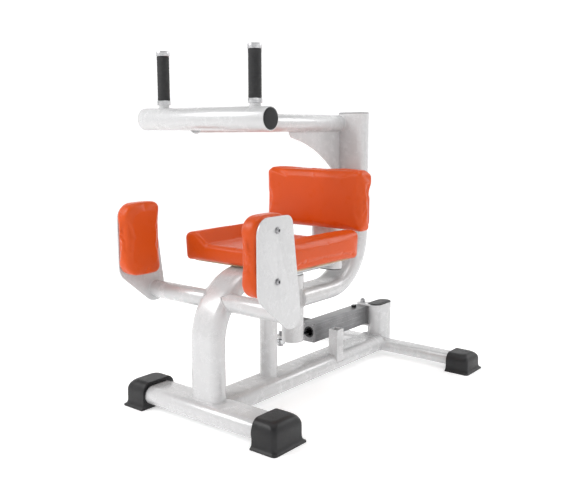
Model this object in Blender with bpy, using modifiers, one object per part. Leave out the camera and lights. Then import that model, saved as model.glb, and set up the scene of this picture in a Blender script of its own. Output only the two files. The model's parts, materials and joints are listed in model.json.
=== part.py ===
"""Seated rotary torso machine: a fixed steel frame with seat, back pad and thigh pads,
and a swing arm with two upright grips that turns about a pivot under the seat against a
hydraulic damper.

Metres, +Z up.  The origin is on the floor at the middle of the machine's footprint, -Y is
the front (the side the sitter faces) and +X is the sitter's left.
"""
import math

import bmesh
import bpy
from mathutils import Matrix, Vector

# Gap kept between solids that touch on the real machine
GAP = 0.0003

# Flat-oval steel tube used for the base, columns and swing post
TUBE_W = 0.120
TUBE_T = 0.060
WALL = 0.003
BEND_R = 0.188
ARC_STEPS = 8
BEND_STEPS = 11
ROUND_STEPS = 24

# Base frame
TUBE_LIFT = 0.015
BASE_Z = TUBE_LIFT + TUBE_T / 2
BASE_TOP = TUBE_LIFT + TUBE_T
FRONT_Y = -0.462
REAR_Y = 0.488
REAR_TUBE_W = 0.080
REAR_TUBE_T = 0.040
REAR_TUBE_Z = TUBE_LIFT + REAR_TUBE_T / 2
STUB_Y = 0.512
STUB_BOTTOM = 0.035
STUB_TOP = 0.198
SPINE_END = 0.466
FRONT_END = -(STUB_Y + TUBE_W / 2)
CAP_T = 0.003
SOCKET_X = 0.040
SOCKET_Y = 0.153
SOCKET_W = 0.040
SOCKET_BOTTOM = 0.046
SOCKET_TOP = 0.170

# Rubber feet
FRONT_FOOT_D = 0.150
REAR_FOOT_D = 0.128
FRONT_FOOT_X = (0.230, 0.3245)
REAR_FOOT_X = (0.341, 0.434)
FRONT_FOOT_H = 0.088
REAR_FOOT_H = 0.068
FOOT_END_WALL = 0.020

# Seat frame
RUN_Z = 0.438
RUN_BOTTOM = RUN_Z - TUBE_T / 2
RUN_TOP = RUN_Z + TUBE_T / 2
SUPPORT_Y = -0.181
SUPPORT_R = 0.029
UPRIGHT_Y = 0.1467
UPRIGHT_Z = (0.396, 0.676)
BACK_FACE_Y = UPRIGHT_Y - TUBE_T / 2

# Seat
SEAT_Y = (-0.350, 0.032)
SEAT_HALF = 0.220
SEAT_BOTTOM = 0.4712
SEAT_FLOOR = 0.528
SEAT_CREST = 0.565
SEAT_CHANNEL_HALF = 0.137
BOARD_T = 0.012
BOARD_INSET = 0.018
SEAT_BOARD_DEPTH = 0.012

# Back pad
BACK_Y = (0.053, 0.115)
BACK_HALF = 0.211
BACK_Z = (0.546, 0.765)
BACK_ROLL_Y = 0.128
BACK_ROLL_Z = 0.698
BACK_BOLT_ZS = (0.600, 0.650)

# Thigh pads
THIGH_TUBE_Y = -0.417
THIGH_TUBE_Z = 0.375
THIGH_TUBE_R = 0.028
THIGH_PAD_X = (0.2295, 0.2835)
THIGH_PLATE_X = (0.284, 0.290)
THIGH_PAD_Y = (FRONT_END, -0.431)
THIGH_PAD_Z = (0.436, 0.670)
THIGH_PLATE_FRONT = -0.561
THIGH_PLATE_TOP = 0.661
THIGH_BOLT_Y = -0.4806
THIGH_BOLT_ZS = (0.623, 0.4815)
BOLT_R = 0.004

# Pivot under the seat
PIVOT_Y = -0.052
SLEEVE_R = 0.038
SLEEVE_WALL = 0.004
SLEEVE_Z = (0.167, 0.400)
SHAFT_R = 0.019
SHAFT_END_R = 0.012
BEARING_H = 0.016
LOWER_BEARING_Z = 0.196
UPPER_BEARING_Z = 0.378

# Swing arm
SWING_RUN_Z = 0.320
POST_Y = 0.310
POST_TOP = 0.950
ARM_X = -0.045
ARM_Z = 0.911
ARM_R = 0.030
ARM_START = -0.451
BAR_Y = -0.463
BAR_Z = 0.9212
BAR_R = 0.0333
BAR_CAP_R = 0.0308
BAR_HALF = 0.253
HANDLE_HALF = 0.183
HANDLE_SHIFT = 0.015
STEM_R = 0.0155
COLLAR_R = 0.0200
GRIP_R = 0.0185
COLLAR_Z = (0.963, 0.976)
GRIP_Z = (0.9765, 1.1065)
END_CAP_TOP = 1.121
GUSSET_T = 0.006

# Hydraulic damper, with its crank under the pivot sleeve
CRANK_R = 0.055
CRANK_Z = (0.168, 0.176)
DAMPER_X = -0.0490
DAMPER_Z = 0.153
DAMPER_W = 0.057
DAMPER_H = 0.074
DAMPER_Y = (0.105, 0.440)
DAMPER_WALL = 0.005
GLAND_HOLE_R = 0.0158
ROD_R = 0.008
ROD_END = 0.300
EYE_R = 0.016
EYE_H = 0.016
PIN_R = 0.006
PISTON_R = 0.015
REAR_EYE_X = -0.052
REAR_EYE_Y = 0.467
REAR_EYE_R = 0.015
DIAL_Y = 0.400
DIAL_R = 0.010

NO_TURN = (0, 0, 0)
ALONG_X = (math.pi / 2, 0, math.pi / 2)
ALONG_Y = (math.pi / 2, 0, 0)
QUARTER = (0, 0, math.pi / 2)

# Finishes: colour, roughness, metallic
FINISHES = {
    "powder_coat": ((0.80, 0.80, 0.81), 0.35, 0.1),
    "vinyl": ((0.83, 0.16, 0.02), 0.42, 0.0),
    "rubber": ((0.035, 0.035, 0.037), 0.75, 0.0),
    "plastic": ((0.02, 0.02, 0.02), 0.5, 0.0),
    "plywood": ((0.45, 0.30, 0.16), 0.8, 0.0),
    "zinc": ((0.62, 0.63, 0.65), 0.3, 1.0),
    "steel": ((0.45, 0.46, 0.48), 0.3, 1.0),
    "aluminium": ((0.66, 0.67, 0.68), 0.3, 1.0),
    "damper_grey": ((0.42, 0.43, 0.44), 0.4, 0.6),
}


# ---------------------------------------------------------------- scene helpers

def empty_scene():
    for obj in list(bpy.data.objects):
        bpy.data.objects.remove(obj, do_unlink=True)


def new_collection(name):
    collection = bpy.data.collections.new(name)
    bpy.context.scene.collection.children.link(collection)
    return collection


def new_material(name, finish):
    colour, roughness, metallic = FINISHES[finish]
    material = bpy.data.materials.new(name)
    material.use_nodes = True
    shader = material.node_tree.nodes["Principled BSDF"]
    shader.inputs["Base Color"].default_value = (*colour, 1)
    shader.inputs["Roughness"].default_value = roughness
    shader.inputs["Metallic"].default_value = metallic
    return material


def new_object(name, mesh, centre=(0, 0, 0), turn=NO_TURN):
    obj = bpy.data.objects.new(name, mesh)
    obj.location = centre
    obj.rotation_euler = turn
    return obj


def tidy_mesh(mesh):
    """Weld loose caps and point every face outwards."""
    work = bmesh.new()
    work.from_mesh(mesh)
    bmesh.ops.remove_doubles(work, verts=work.verts, dist=0.00001)
    bmesh.ops.recalc_face_normals(work, faces=work.faces)
    work.to_mesh(mesh)
    work.free()


def curve_as_mesh(name, curve, centre, turn):
    holder = new_object(name, curve, centre, turn)
    bpy.context.scene.collection.objects.link(holder)
    bpy.context.view_layer.update()
    depsgraph = bpy.context.evaluated_depsgraph_get()
    mesh = bpy.data.meshes.new_from_object(holder.evaluated_get(depsgraph))
    tidy_mesh(mesh)
    obj = bpy.data.objects.new(name, mesh)
    obj.matrix_world = holder.matrix_world
    bpy.data.objects.remove(holder)
    return obj


def part(obj, name, finish, mover=None):
    """File a finished object under its own name and material, on a mover when it moves."""
    obj.name = name
    PARTS.objects.link(obj)
    obj.data.materials.clear()
    obj.data.materials.append(new_material(name + "_finish", finish))
    if mover is not None:
        obj.parent = mover
        obj.matrix_parent_inverse = Matrix.Translation(mover.location).inverted()
    obj.data.shade_smooth()
    obj.data.set_sharp_from_angle(angle=math.radians(35))
    return obj


def guide(obj):
    """File an object that only shapes others."""
    CUTTERS.objects.link(obj)
    obj.hide_render = True
    obj.display_type = "WIRE"
    return obj


def boolean(obj, other, operation):
    modifier = obj.modifiers.new(operation.lower(), "BOOLEAN")
    modifier.operation = operation
    modifier.object = other
    modifier.solver = "EXACT"


def cut(obj, *others):
    for other in others:
        boolean(obj, other, "DIFFERENCE")
    return obj


def join(obj, *others):
    for other in others:
        boolean(obj, other, "UNION")
    return obj


def soften(obj, width, segments=2):
    modifier = obj.modifiers.new("soften", "BEVEL")
    modifier.width = width
    modifier.segments = segments
    modifier.limit_method = "ANGLE"
    modifier.angle_limit = math.radians(40)
    return obj


# ---------------------------------------------------------------- outlines

def oval(width, thick, grow=0.0):
    """A flat-oval outline, its width along the first axis."""
    radius = thick / 2 + grow
    reach = (width - thick) / 2
    points = []
    for side, start in ((1, -90), (-1, 90)):
        for step in range(ARC_STEPS + 1):
            angle = math.radians(start + 180 * step / ARC_STEPS)
            points.append((side * reach + radius * math.cos(angle), radius * math.sin(angle)))
    return points


def circle(radius, steps=ROUND_STEPS, centre=(0, 0)):
    points = []
    for step in range(steps):
        angle = 2 * math.pi * step / steps
        points.append((centre[0] + radius * math.cos(angle), centre[1] + radius * math.sin(angle)))
    return points


def rounded(corners, steps=6):
    """A closed outline through corners (u, v, radius), each corner turned into an arc."""
    points = []
    count = len(corners)
    for index, (u, v, radius) in enumerate(corners):
        here = Vector((u, v))
        before = (Vector(corners[index - 1][:2]) - here).normalized()
        after = (Vector(corners[(index + 1) % count][:2]) - here).normalized()
        if radius == 0:
            points.append((u, v))
            continue
        half = before.angle(after) / 2
        centre = here + (before + after).normalized() * (radius / math.sin(half))
        start = here + before * (radius / math.tan(half)) - centre
        end = here + after * (radius / math.tan(half)) - centre
        sweep = start.angle_signed(end)
        for step in range(steps + 1):
            turn = Matrix.Rotation(-sweep * step / steps, 2)
            points.append(tuple(centre + turn @ start))
    return points


def box_outline(low, high, radius):
    return rounded([(low[0], low[1], radius), (high[0], low[1], radius),
                    (high[0], high[1], radius), (low[0], high[1], radius)])


def arc_between(start, end, rise, steps=8):
    """Points of a shallow arc that stands off its chord by rise, to the left of travel."""
    first = Vector(start)
    chord = Vector(end) - first
    across = Vector((-chord.y, chord.x)).normalized()
    points = []
    for step in range(steps + 1):
        along = step / steps
        points.append(tuple(first + chord * along + across * (4 * rise * along * (1 - along))))
    return points


# ---------------------------------------------------------------- solids

def extruded(name, loops, length, centre=(0, 0, 0), turn=NO_TURN):
    """A flat outline, with any holes, given a length along its own third axis."""
    curve = bpy.data.curves.new(name, "CURVE")
    curve.dimensions = "2D"
    curve.fill_mode = "BOTH"
    curve.extrude = length / 2
    for loop in loops:
        spline = curve.splines.new("POLY")
        spline.points.add(len(loop) - 1)
        for point, (u, v) in zip(spline.points, loop):
            point.co = (u, v, 0, 1)
        spline.use_cyclic_u = True
    return curve_as_mesh(name, curve, centre, turn)


def oval_tube(name, length, centre, turn, width=TUBE_W, thick=TUBE_T):
    loops = (oval(width, thick), oval(width, thick, -WALL))
    return extruded(name, loops, length, centre, turn)


def oval_block(name, length, centre, turn, width=TUBE_W, thick=TUBE_T, grow=GAP):
    return extruded(name, (oval(width, thick, grow),), length, centre, turn)


def round_tube(name, radius, wall, length, centre, turn):
    return extruded(name, (circle(radius), circle(radius - wall)), length, centre, turn)


def round_block(name, radius, length, centre, turn=NO_TURN, steps=ROUND_STEPS):
    return extruded(name, (circle(radius, steps),), length, centre, turn)


def swept_oval(name, path, grow=0.0, solid=False):
    """The flat-oval tube along a bent path in a plane of constant X, its width along X."""
    outline = bpy.data.curves.new(name + "_outline", "CURVE")
    outline.dimensions = "2D"
    spline = outline.splines.new("POLY")
    points = oval(TUBE_W, TUBE_T, grow)
    spline.points.add(len(points) - 1)
    for point, (u, v) in zip(spline.points, points):
        point.co = (u, v, 0, 1)
    spline.use_cyclic_u = True
    shape = new_object(name + "_outline", outline)
    bpy.context.scene.collection.objects.link(shape)
    curve = bpy.data.curves.new(name, "CURVE")
    curve.dimensions = "3D"
    curve.twist_mode = "MINIMUM"
    curve.bevel_mode = "OBJECT"
    curve.bevel_object = shape
    curve.use_fill_caps = solid
    run = curve.splines.new("POLY")
    run.points.add(len(path) - 1)
    for point, place in zip(run.points, path):
        point.co = (*place, 1)
    obj = curve_as_mesh(name, curve, (0, 0, 0), NO_TURN)
    bpy.data.objects.remove(shape)
    if not solid:
        shell = obj.modifiers.new("wall", "SOLIDIFY")
        shell.thickness = WALL
        shell.offset = -1
    return obj


def bend(centre, start_angle, end_angle):
    """Centreline points of a bend in the YZ plane, angles in degrees from +Y towards +Z."""
    points = []
    for step in range(BEND_STEPS + 1):
        angle = math.radians(start_angle + (end_angle - start_angle) * step / BEND_STEPS)
        points.append((0, centre[0] + BEND_R * math.cos(angle), centre[1] + BEND_R * math.sin(angle)))
    return points


def turned(name, profile, centre, turn=NO_TURN, closed=False, steps=ROUND_STEPS):
    """A profile of (radius, height) points turned about its own third axis."""
    mesh = bpy.data.meshes.new(name)
    points = [(radius, 0, height) for radius, height in profile]
    edges = [(index, index + 1) for index in range(len(points) - 1)]
    if closed:
        edges.append((len(points) - 1, 0))
    mesh.from_pydata(points, edges, [])
    obj = new_object(name, mesh, centre, turn)
    screw = obj.modifiers.new("turn", "SCREW")
    screw.steps = steps
    screw.render_steps = steps
    screw.use_merge_vertices = True
    screw.merge_threshold = 0.00001
    return obj


def ring(name, outer, inner, height, centre, turn=NO_TURN, edge=0.0):
    """A turned ring, its outer edges eased by a small chamfer."""
    top = height / 2
    profile = [(inner, top), (outer - edge, top), (outer, top - edge),
               (outer, -top + edge), (outer - edge, -top), (inner, -top)]
    if edge == 0:
        profile = [(inner, top), (outer, top), (outer, -top), (inner, -top)]
    return turned(name, profile, centre, turn, closed=True)


def merged(name, pieces):
    """One mesh of several separate solids, each already placed."""
    bpy.context.view_layer.update()
    work = bmesh.new()
    for piece in pieces:
        bpy.context.scene.collection.objects.link(piece)
    bpy.context.view_layer.update()
    depsgraph = bpy.context.evaluated_depsgraph_get()
    for piece in pieces:
        mesh = bpy.data.meshes.new_from_object(piece.evaluated_get(depsgraph))
        mesh.transform(piece.matrix_world)
        work.from_mesh(mesh)
        bpy.data.meshes.remove(mesh)
    for piece in pieces:
        bpy.data.objects.remove(piece)
    bmesh.ops.recalc_face_normals(work, faces=work.faces)
    mesh = bpy.data.meshes.new(name)
    work.to_mesh(mesh)
    work.free()
    return bpy.data.objects.new(name, mesh)


def oval_plug(name, centre, turn, facing, width=TUBE_W, thick=TUBE_T, depth=0.010):
    """An end plug: a thin lid, and an insert that reaches back into the tube."""
    lid = extruded(name, (oval(width, thick),), CAP_T - GAP, centre, turn)
    inward = Vector(facing) * -(depth / 2)
    insert = extruded(name + "_insert", (oval(width, thick, -WALL - GAP),), depth,
                      Vector(centre) + inward, turn)
    return join(lid, guide(insert))


def button_bolt(name, place, turn, head_r, head_h, shank_r, shank_l):
    """A domed bolt: head on its own +Z side, shank down from the origin."""
    profile = [(0, head_h), (head_r * 0.45, head_h), (head_r * 0.85, head_h * 0.62), (head_r, GAP),
               (shank_r, GAP), (shank_r, -shank_l), (0, -shank_l)]
    return turned(name, profile, place, turn, steps=16)


def hex_nut(name, across, hole, height, centre):
    radius = across / math.sqrt(3)
    return extruded(name, (circle(radius, 6), circle(hole, 16)), height, centre)


# ---------------------------------------------------------------- bent tube centrelines

def column_path():
    bend_centre = (FRONT_Y + BEND_R, RUN_Z - BEND_R)
    points = [(0, FRONT_Y, BASE_TOP + GAP)]
    points += bend(bend_centre, 180, 90)
    points.append((0, UPRIGHT_Y, RUN_Z))
    return points


def swing_path():
    bend_centre = (POST_Y - BEND_R, SWING_RUN_Z + BEND_R)
    points = [(0, PIVOT_Y, SWING_RUN_Z)]
    points += bend(bend_centre, -90, 0)
    points.append((0, POST_Y, POST_TOP - CAP_T))
    return points


# ---------------------------------------------------------------- base frame

def stub_block():
    return guide(oval_block("stub_block", 0.4, (0, STUB_Y, 0.15), QUARTER))


def build_base():
    front_length = 2 * (FRONT_FOOT_X[1] - FOOT_END_WALL)
    front = oval_tube("front_cross_tube", front_length, (0, FRONT_Y, BASE_Z), ALONG_X)
    part(front, "front_cross_tube", "powder_coat")

    rear_length = 2 * (REAR_FOOT_X[1] - FOOT_END_WALL)
    rear_centre = (0, REAR_Y, REAR_TUBE_Z)
    rear = oval_tube("rear_cross_tube", rear_length, rear_centre, ALONG_X, REAR_TUBE_W, REAR_TUBE_T)
    part(rear, "rear_cross_tube", "powder_coat")

    # The spine is coped to the front tube, the rear tube and the stub post that stands on it
    rear_block = guide(oval_block("rear_tube_block", 0.2, rear_centre, ALONG_X, REAR_TUBE_W, REAR_TUBE_T))
    front_block = guide(oval_block("front_tube_block", 0.4, (0, FRONT_Y, BASE_Z), ALONG_X))
    start = FRONT_Y + (TUBE_W - TUBE_T) / 2
    middle = (0, (start + SPINE_END) / 2, BASE_Z)
    spine = oval_tube("spine_tube", SPINE_END - start, middle, ALONG_Y)
    part(cut(spine, front_block, rear_block, stub_block()), "spine_tube", "powder_coat")

    middle = (0, STUB_Y, (STUB_TOP - CAP_T + STUB_BOTTOM) / 2)
    stub = oval_tube("rear_stub_tube", STUB_TOP - CAP_T - STUB_BOTTOM, middle, QUARTER)
    part(cut(stub, rear_block), "rear_stub_tube", "powder_coat")
    lid = oval_plug("rear_stub_cap", (0, STUB_Y, STUB_TOP - CAP_T / 2), QUARTER, (0, 0, 1))
    part(lid, "rear_stub_cap", "plastic")

    half = SOCKET_W / 2
    loops = (box_outline((-half, -half), (half, half), 0.003),
             box_outline((-half + WALL, -half + WALL), (half - WALL, half - WALL), 0.001))
    centre = (SOCKET_X, SOCKET_Y, (SOCKET_BOTTOM + SOCKET_TOP) / 2)
    socket = extruded("accessory_socket", loops, SOCKET_TOP - SOCKET_BOTTOM, centre)
    spine_block = guide(oval_block("spine_block", 0.3, (0, SOCKET_Y, BASE_Z), ALONG_Y))
    part(cut(socket, spine_block), "accessory_socket", "powder_coat")


def foot(name, x_range, centre_y, depth, height, tube_w, tube_t, tube_z, side):
    """A rubber shoe: a flared block that stays upright on its inner side, with a blind pocket."""
    width = x_range[1] - x_range[0]
    # height up the shoe, inset of its front, rear and outer sides
    levels = ((0.0, 0.0), (0.004, 0.0005), (0.013, 0.005), (height * 0.62, 0.0085),
              (height * 0.82, 0.0135), (height * 0.94, 0.0225), (height, 0.036))
    half = depth / 2
    outline = rounded([(0, -half, 0), (width, -half, 0.012), (width, half, 0.012), (0, half, 0)], 3)
    work = bmesh.new()
    base = work.faces.new([work.verts.new((u, v, 0)) for u, v in outline])
    top = base
    for (z0, inset0), (z1, inset1) in zip(levels, levels[1:]):
        grown = bmesh.ops.extrude_face_region(work, geom=[top])["geom"]
        if top.is_valid and top is not base:
            bmesh.ops.delete(work, geom=[top], context="FACES_ONLY")
        top = [item for item in grown if isinstance(item, bmesh.types.BMFace)][0]
        across = (half - inset1) / (half - inset0)
        along = (width - inset1) / (width - inset0)
        for vert in top.verts:
            vert.co = (vert.co.x * along, vert.co.y * across, z1)
    bmesh.ops.recalc_face_normals(work, faces=work.faces)
    mesh = bpy.data.meshes.new(name)
    work.to_mesh(mesh)
    work.free()
    tidy_mesh(mesh)
    for vert in mesh.vertices:
        vert.co.x = side * (x_range[0] + vert.co.x)
        vert.co.y += centre_y
    if side < 0:
        mesh.flip_normals()
    shoe = new_object(name, mesh)
    pocket_from = x_range[0] - 0.02
    pocket_to = x_range[1] - FOOT_END_WALL + GAP
    centre = (side * (pocket_from + pocket_to) / 2, centre_y, tube_z)
    pocket = oval_block(name + "_pocket", pocket_to - pocket_from, centre, ALONG_X, tube_w, tube_t)
    part(cut(shoe, guide(pocket)), name, "rubber")


def build_feet():
    for side, label in ((1, "left"), (-1, "right")):
        foot("foot_front_" + label, FRONT_FOOT_X, FRONT_Y, FRONT_FOOT_D, FRONT_FOOT_H,
             TUBE_W, TUBE_T, BASE_Z, side)
        foot("foot_rear_" + label, REAR_FOOT_X, REAR_Y, REAR_FOOT_D, REAR_FOOT_H,
             REAR_TUBE_W, REAR_TUBE_T, REAR_TUBE_Z, side)


# ---------------------------------------------------------------- seat frame

def build_seat_frame():
    upright_middle = (0, UPRIGHT_Y, sum(UPRIGHT_Z) / 2)
    upright_height = UPRIGHT_Z[1] - UPRIGHT_Z[0]
    upright_block = guide(oval_block("upright_block", upright_height + 0.1, upright_middle, NO_TURN))

    column = swept_oval("front_column_tube", column_path())
    part(cut(column, upright_block), "front_column_tube", "powder_coat")

    height = RUN_BOTTOM - BASE_TOP - 2 * GAP
    centre = (0, SUPPORT_Y, (RUN_BOTTOM + BASE_TOP) / 2)
    support = round_tube("support_column", SUPPORT_R, WALL, height, centre, NO_TURN)
    part(support, "support_column", "powder_coat")

    upright = oval_tube("back_upright", upright_height, upright_middle, NO_TURN)
    part(cut(upright, back_bolt_holes()), "back_upright", "powder_coat")
    cap_place = (0, UPRIGHT_Y, UPRIGHT_Z[0] - GAP / 2 - CAP_T / 2)
    part(oval_plug("upright_cap", cap_place, NO_TURN, (0, 0, -1)), "upright_cap", "plastic")

    column_block = guide(swept_oval("column_block", column_path(), GAP, solid=True))
    inner = 0.045
    outer = THIGH_PLATE_X[0] - GAP
    for side, label in ((1, "left"), (-1, "right")):
        name = "thigh_tube_" + label
        centre = (side * (inner + outer) / 2, THIGH_TUBE_Y, THIGH_TUBE_Z)
        tube = round_tube(name, THIGH_TUBE_R, WALL, outer - inner, centre, ALONG_X)
        part(cut(tube, column_block), name, "powder_coat")


# ---------------------------------------------------------------- seat and pads

def build_seat():
    half = SEAT_HALF
    crest = half - 0.026
    outline = rounded([
        (-half, SEAT_BOTTOM, 0.012), (half, SEAT_BOTTOM, 0.012), (half, SEAT_CREST, 0.022),
        (crest - 0.012, SEAT_CREST, 0.020), (SEAT_CHANNEL_HALF - 0.010, SEAT_FLOOR, 0.030),
        (-SEAT_CHANNEL_HALF + 0.010, SEAT_FLOOR, 0.030), (-crest + 0.012, SEAT_CREST, 0.020),
        (-half, SEAT_CREST, 0.022)], 4)
    middle = (0, sum(SEAT_Y) / 2, 0)
    length = SEAT_Y[1] - SEAT_Y[0]
    cushion = soften(extruded("seat_cushion", (outline,), length, middle, ALONG_Y), 0.010, 3)

    board_half = half - BOARD_INSET
    board_y = (SEAT_Y[0] + BOARD_INSET, SEAT_Y[1] - BOARD_INSET)
    board_z = (RUN_TOP + GAP, SEAT_BOTTOM + SEAT_BOARD_DEPTH)
    outline = box_outline((-board_half, board_y[0]), (board_half, board_y[1]), 0.03)
    board = extruded("seat_board", (outline,), board_z[1] - board_z[0], (0, 0, sum(board_z) / 2))
    part(board, "seat_board", "plywood")
    low = (-board_half - GAP, board_y[0] - GAP)
    high = (board_half + GAP, board_y[1] + GAP)
    pocket_h = 2 * (SEAT_BOARD_DEPTH + GAP)
    pocket = extruded("seat_pocket", (box_outline(low, high, 0.03),), pocket_h, (0, 0, SEAT_BOTTOM))
    part(cut(cushion, guide(pocket)), "seat_cushion", "vinyl")


def back_bolt_holes():
    holes = [round_block("hole", 0.004 + GAP, 0.090, (0, UPRIGHT_Y, z), ALONG_Y, steps=16)
             for z in BACK_BOLT_ZS]
    return guide(merged("back_bolt_holes", holes))


def build_back_pad():
    front, rear = BACK_Y
    low, high = BACK_Z
    outline = rounded([
        (front, low, 0.020), (rear, low, 0.014), (rear, BACK_ROLL_Z - 0.016, 0),
        (BACK_ROLL_Y, BACK_ROLL_Z + 0.010, 0.016), (BACK_ROLL_Y, high, 0.026), (front, high, 0.020)], 4)
    cushion = extruded("back_cushion", (outline,), 2 * BACK_HALF, (0, 0, 0), ALONG_X)
    soften(cushion, 0.009, 2)
    board_z = (low + 0.018, BACK_ROLL_Z - 0.022)
    board_y = (rear - BOARD_T, BACK_FACE_Y - GAP)
    half = BACK_HALF - BOARD_INSET
    depth = board_y[1] - board_y[0]
    outline = box_outline((-half, board_z[0]), (half, board_z[1]), 0.02)
    board = extruded("back_board", (outline,), depth, (0, sum(board_y) / 2, 0), ALONG_Y)
    part(cut(board, back_bolt_holes()), "back_board", "plywood")
    outline = box_outline((-half - GAP, board_z[0] - GAP), (half + GAP, board_z[1] + GAP), 0.02)
    pocket = extruded("back_pocket", (outline,), 0.04, (0, board_y[0] - GAP + 0.02, 0), ALONG_Y)
    part(cut(cushion, guide(pocket)), "back_cushion", "vinyl")
    rear_face = UPRIGHT_Y + TUBE_T / 2
    length = rear_face - board_y[0] - 0.002
    for z, label in zip(BACK_BOLT_ZS, ("lower", "upper")):
        name = "back_bolt_" + label
        bolt = button_bolt(name, (0, rear_face, z), (-math.pi / 2, 0, 0), 0.0100, 0.007, BOLT_R, length)
        part(bolt, name, "zinc")


def thigh_plate_outline():
    return rounded([
        (THIGH_PLATE_FRONT, THIGH_PLATE_TOP, 0.046), (THIGH_PLATE_FRONT, 0.440, 0.055),
        (-0.436, 0.336, 0.040),
        (-0.372, 0.336, 0.036), (-0.416, THIGH_PLATE_TOP, 0.026)])


def build_thigh_pads():
    front, rear = THIGH_PAD_Y
    low, high = THIGH_PAD_Z
    pad = rounded([(front, low, 0.048), (rear, low, 0.022), (rear, high, 0.022), (front, high, 0.048)])
    inner, outer = THIGH_PAD_X
    plate_in, plate_out = THIGH_PLATE_X
    plate_t = plate_out - plate_in
    for side, label in ((1, "left"), (-1, "right")):
        middle = (side * (inner + outer) / 2, 0, 0)
        cushion = soften(extruded("cushion", (pad,), outer - inner, middle, ALONG_X), 0.010, 3)
        part(cushion, "thigh_cushion_" + label, "vinyl")
        holes = [round_block("hole", BOLT_R + GAP, 0.020, (side * plate_in, THIGH_BOLT_Y, z), ALONG_X, steps=16)
                 for z in THIGH_BOLT_ZS]
        holes = guide(merged("thigh_bolt_holes_" + label, holes))
        plate_middle = (side * (plate_in + plate_out) / 2, 0, 0)
        plate = extruded("plate", (thigh_plate_outline(),), plate_t, plate_middle, ALONG_X)
        part(cut(plate, holes), "thigh_plate_" + label, "powder_coat")
        for z, level in zip(THIGH_BOLT_ZS, ("upper", "lower")):
            name = "thigh_bolt_" + level + "_" + label
            place = (side * plate_out, THIGH_BOLT_Y, z)
            bolt = button_bolt(name, place, (0, side * math.pi / 2, 0), 0.0100, 0.007, BOLT_R, plate_t)
            part(bolt, name, "zinc")


# ---------------------------------------------------------------- pivot

def build_pivot_shaft():
    top = RUN_BOTTOM - GAP
    profile = [(0, top), (0.034, top), (0.034, top - 0.006), (SHAFT_R, top - 0.006),
               (SHAFT_R, LOWER_BEARING_Z), (SHAFT_END_R, LOWER_BEARING_Z), (SHAFT_END_R, 0.174), (0, 0.174)]
    part(turned("pivot_shaft", profile, (0, PIVOT_Y, 0)), "pivot_shaft", "steel")
    flange_h = 0.004
    flange_z = LOWER_BEARING_Z - GAP - flange_h / 2
    nut = ring("shaft_nut", 0.030, SHAFT_END_R + GAP, flange_h, (0, PIVOT_Y, flange_z))
    nut_h = 0.014
    nut_z = flange_z - flange_h / 2 - nut_h / 2 + 0.001
    hexagon = guide(hex_nut("shaft_nut_hexagon", 0.036, SHAFT_END_R + GAP, nut_h, (0, PIVOT_Y, nut_z)))
    part(join(nut, hexagon), "shaft_nut", "zinc")


def build_swing_pivot(mover):
    height = SLEEVE_Z[1] - SLEEVE_Z[0]
    middle = (0, PIVOT_Y, sum(SLEEVE_Z) / 2)
    sleeve = round_tube("pivot_sleeve", SLEEVE_R, SLEEVE_WALL, height, middle, NO_TURN)
    part(sleeve, "pivot_sleeve", "powder_coat", mover)
    for z, label in ((LOWER_BEARING_Z + GAP, "lower"), (UPPER_BEARING_Z, "upper")):
        name = "pivot_bearing_" + label
        centre = (0, PIVOT_Y, z + BEARING_H / 2)
        bearing = ring(name, SLEEVE_R - SLEEVE_WALL - GAP, SHAFT_R + GAP, BEARING_H, centre)
        part(bearing, name, "steel", mover)


def build_crank(mover):
    block = guide(round_block("sleeve_block", SLEEVE_R + GAP, 0.3, (0, PIVOT_Y, 0.28)))
    width = CRANK_R + EYE_R - 0.015
    centre = (-CRANK_R - EYE_R + width / 2, PIVOT_Y, sum(CRANK_Z) / 2)
    arm = oval_block("crank_arm", CRANK_Z[1] - CRANK_Z[0], centre, NO_TURN, width, 2 * EYE_R, 0)
    hole = guide(round_block("crank_pin_hole", PIN_R + GAP, 0.1, (-CRANK_R, PIVOT_Y, CRANK_Z[0])))
    part(cut(arm, block, hole), "crank_arm", "powder_coat", mover)
    eye_low = DAMPER_Z - EYE_H / 2
    head = 0.007
    profile = [(0, CRANK_Z[1] + 0.013), (PIN_R - 0.001, CRANK_Z[1] + 0.013), (PIN_R, CRANK_Z[1] + 0.012),
               (PIN_R, eye_low - GAP), (0.0105, eye_low - GAP), (0.0105, eye_low - head), (0, eye_low - head)]
    pin = turned("crank_pin", profile, (-CRANK_R, PIVOT_Y, 0), steps=24)
    part(pin, "crank_pin", "zinc", mover)
    return block


# ---------------------------------------------------------------- swing arm

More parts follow.
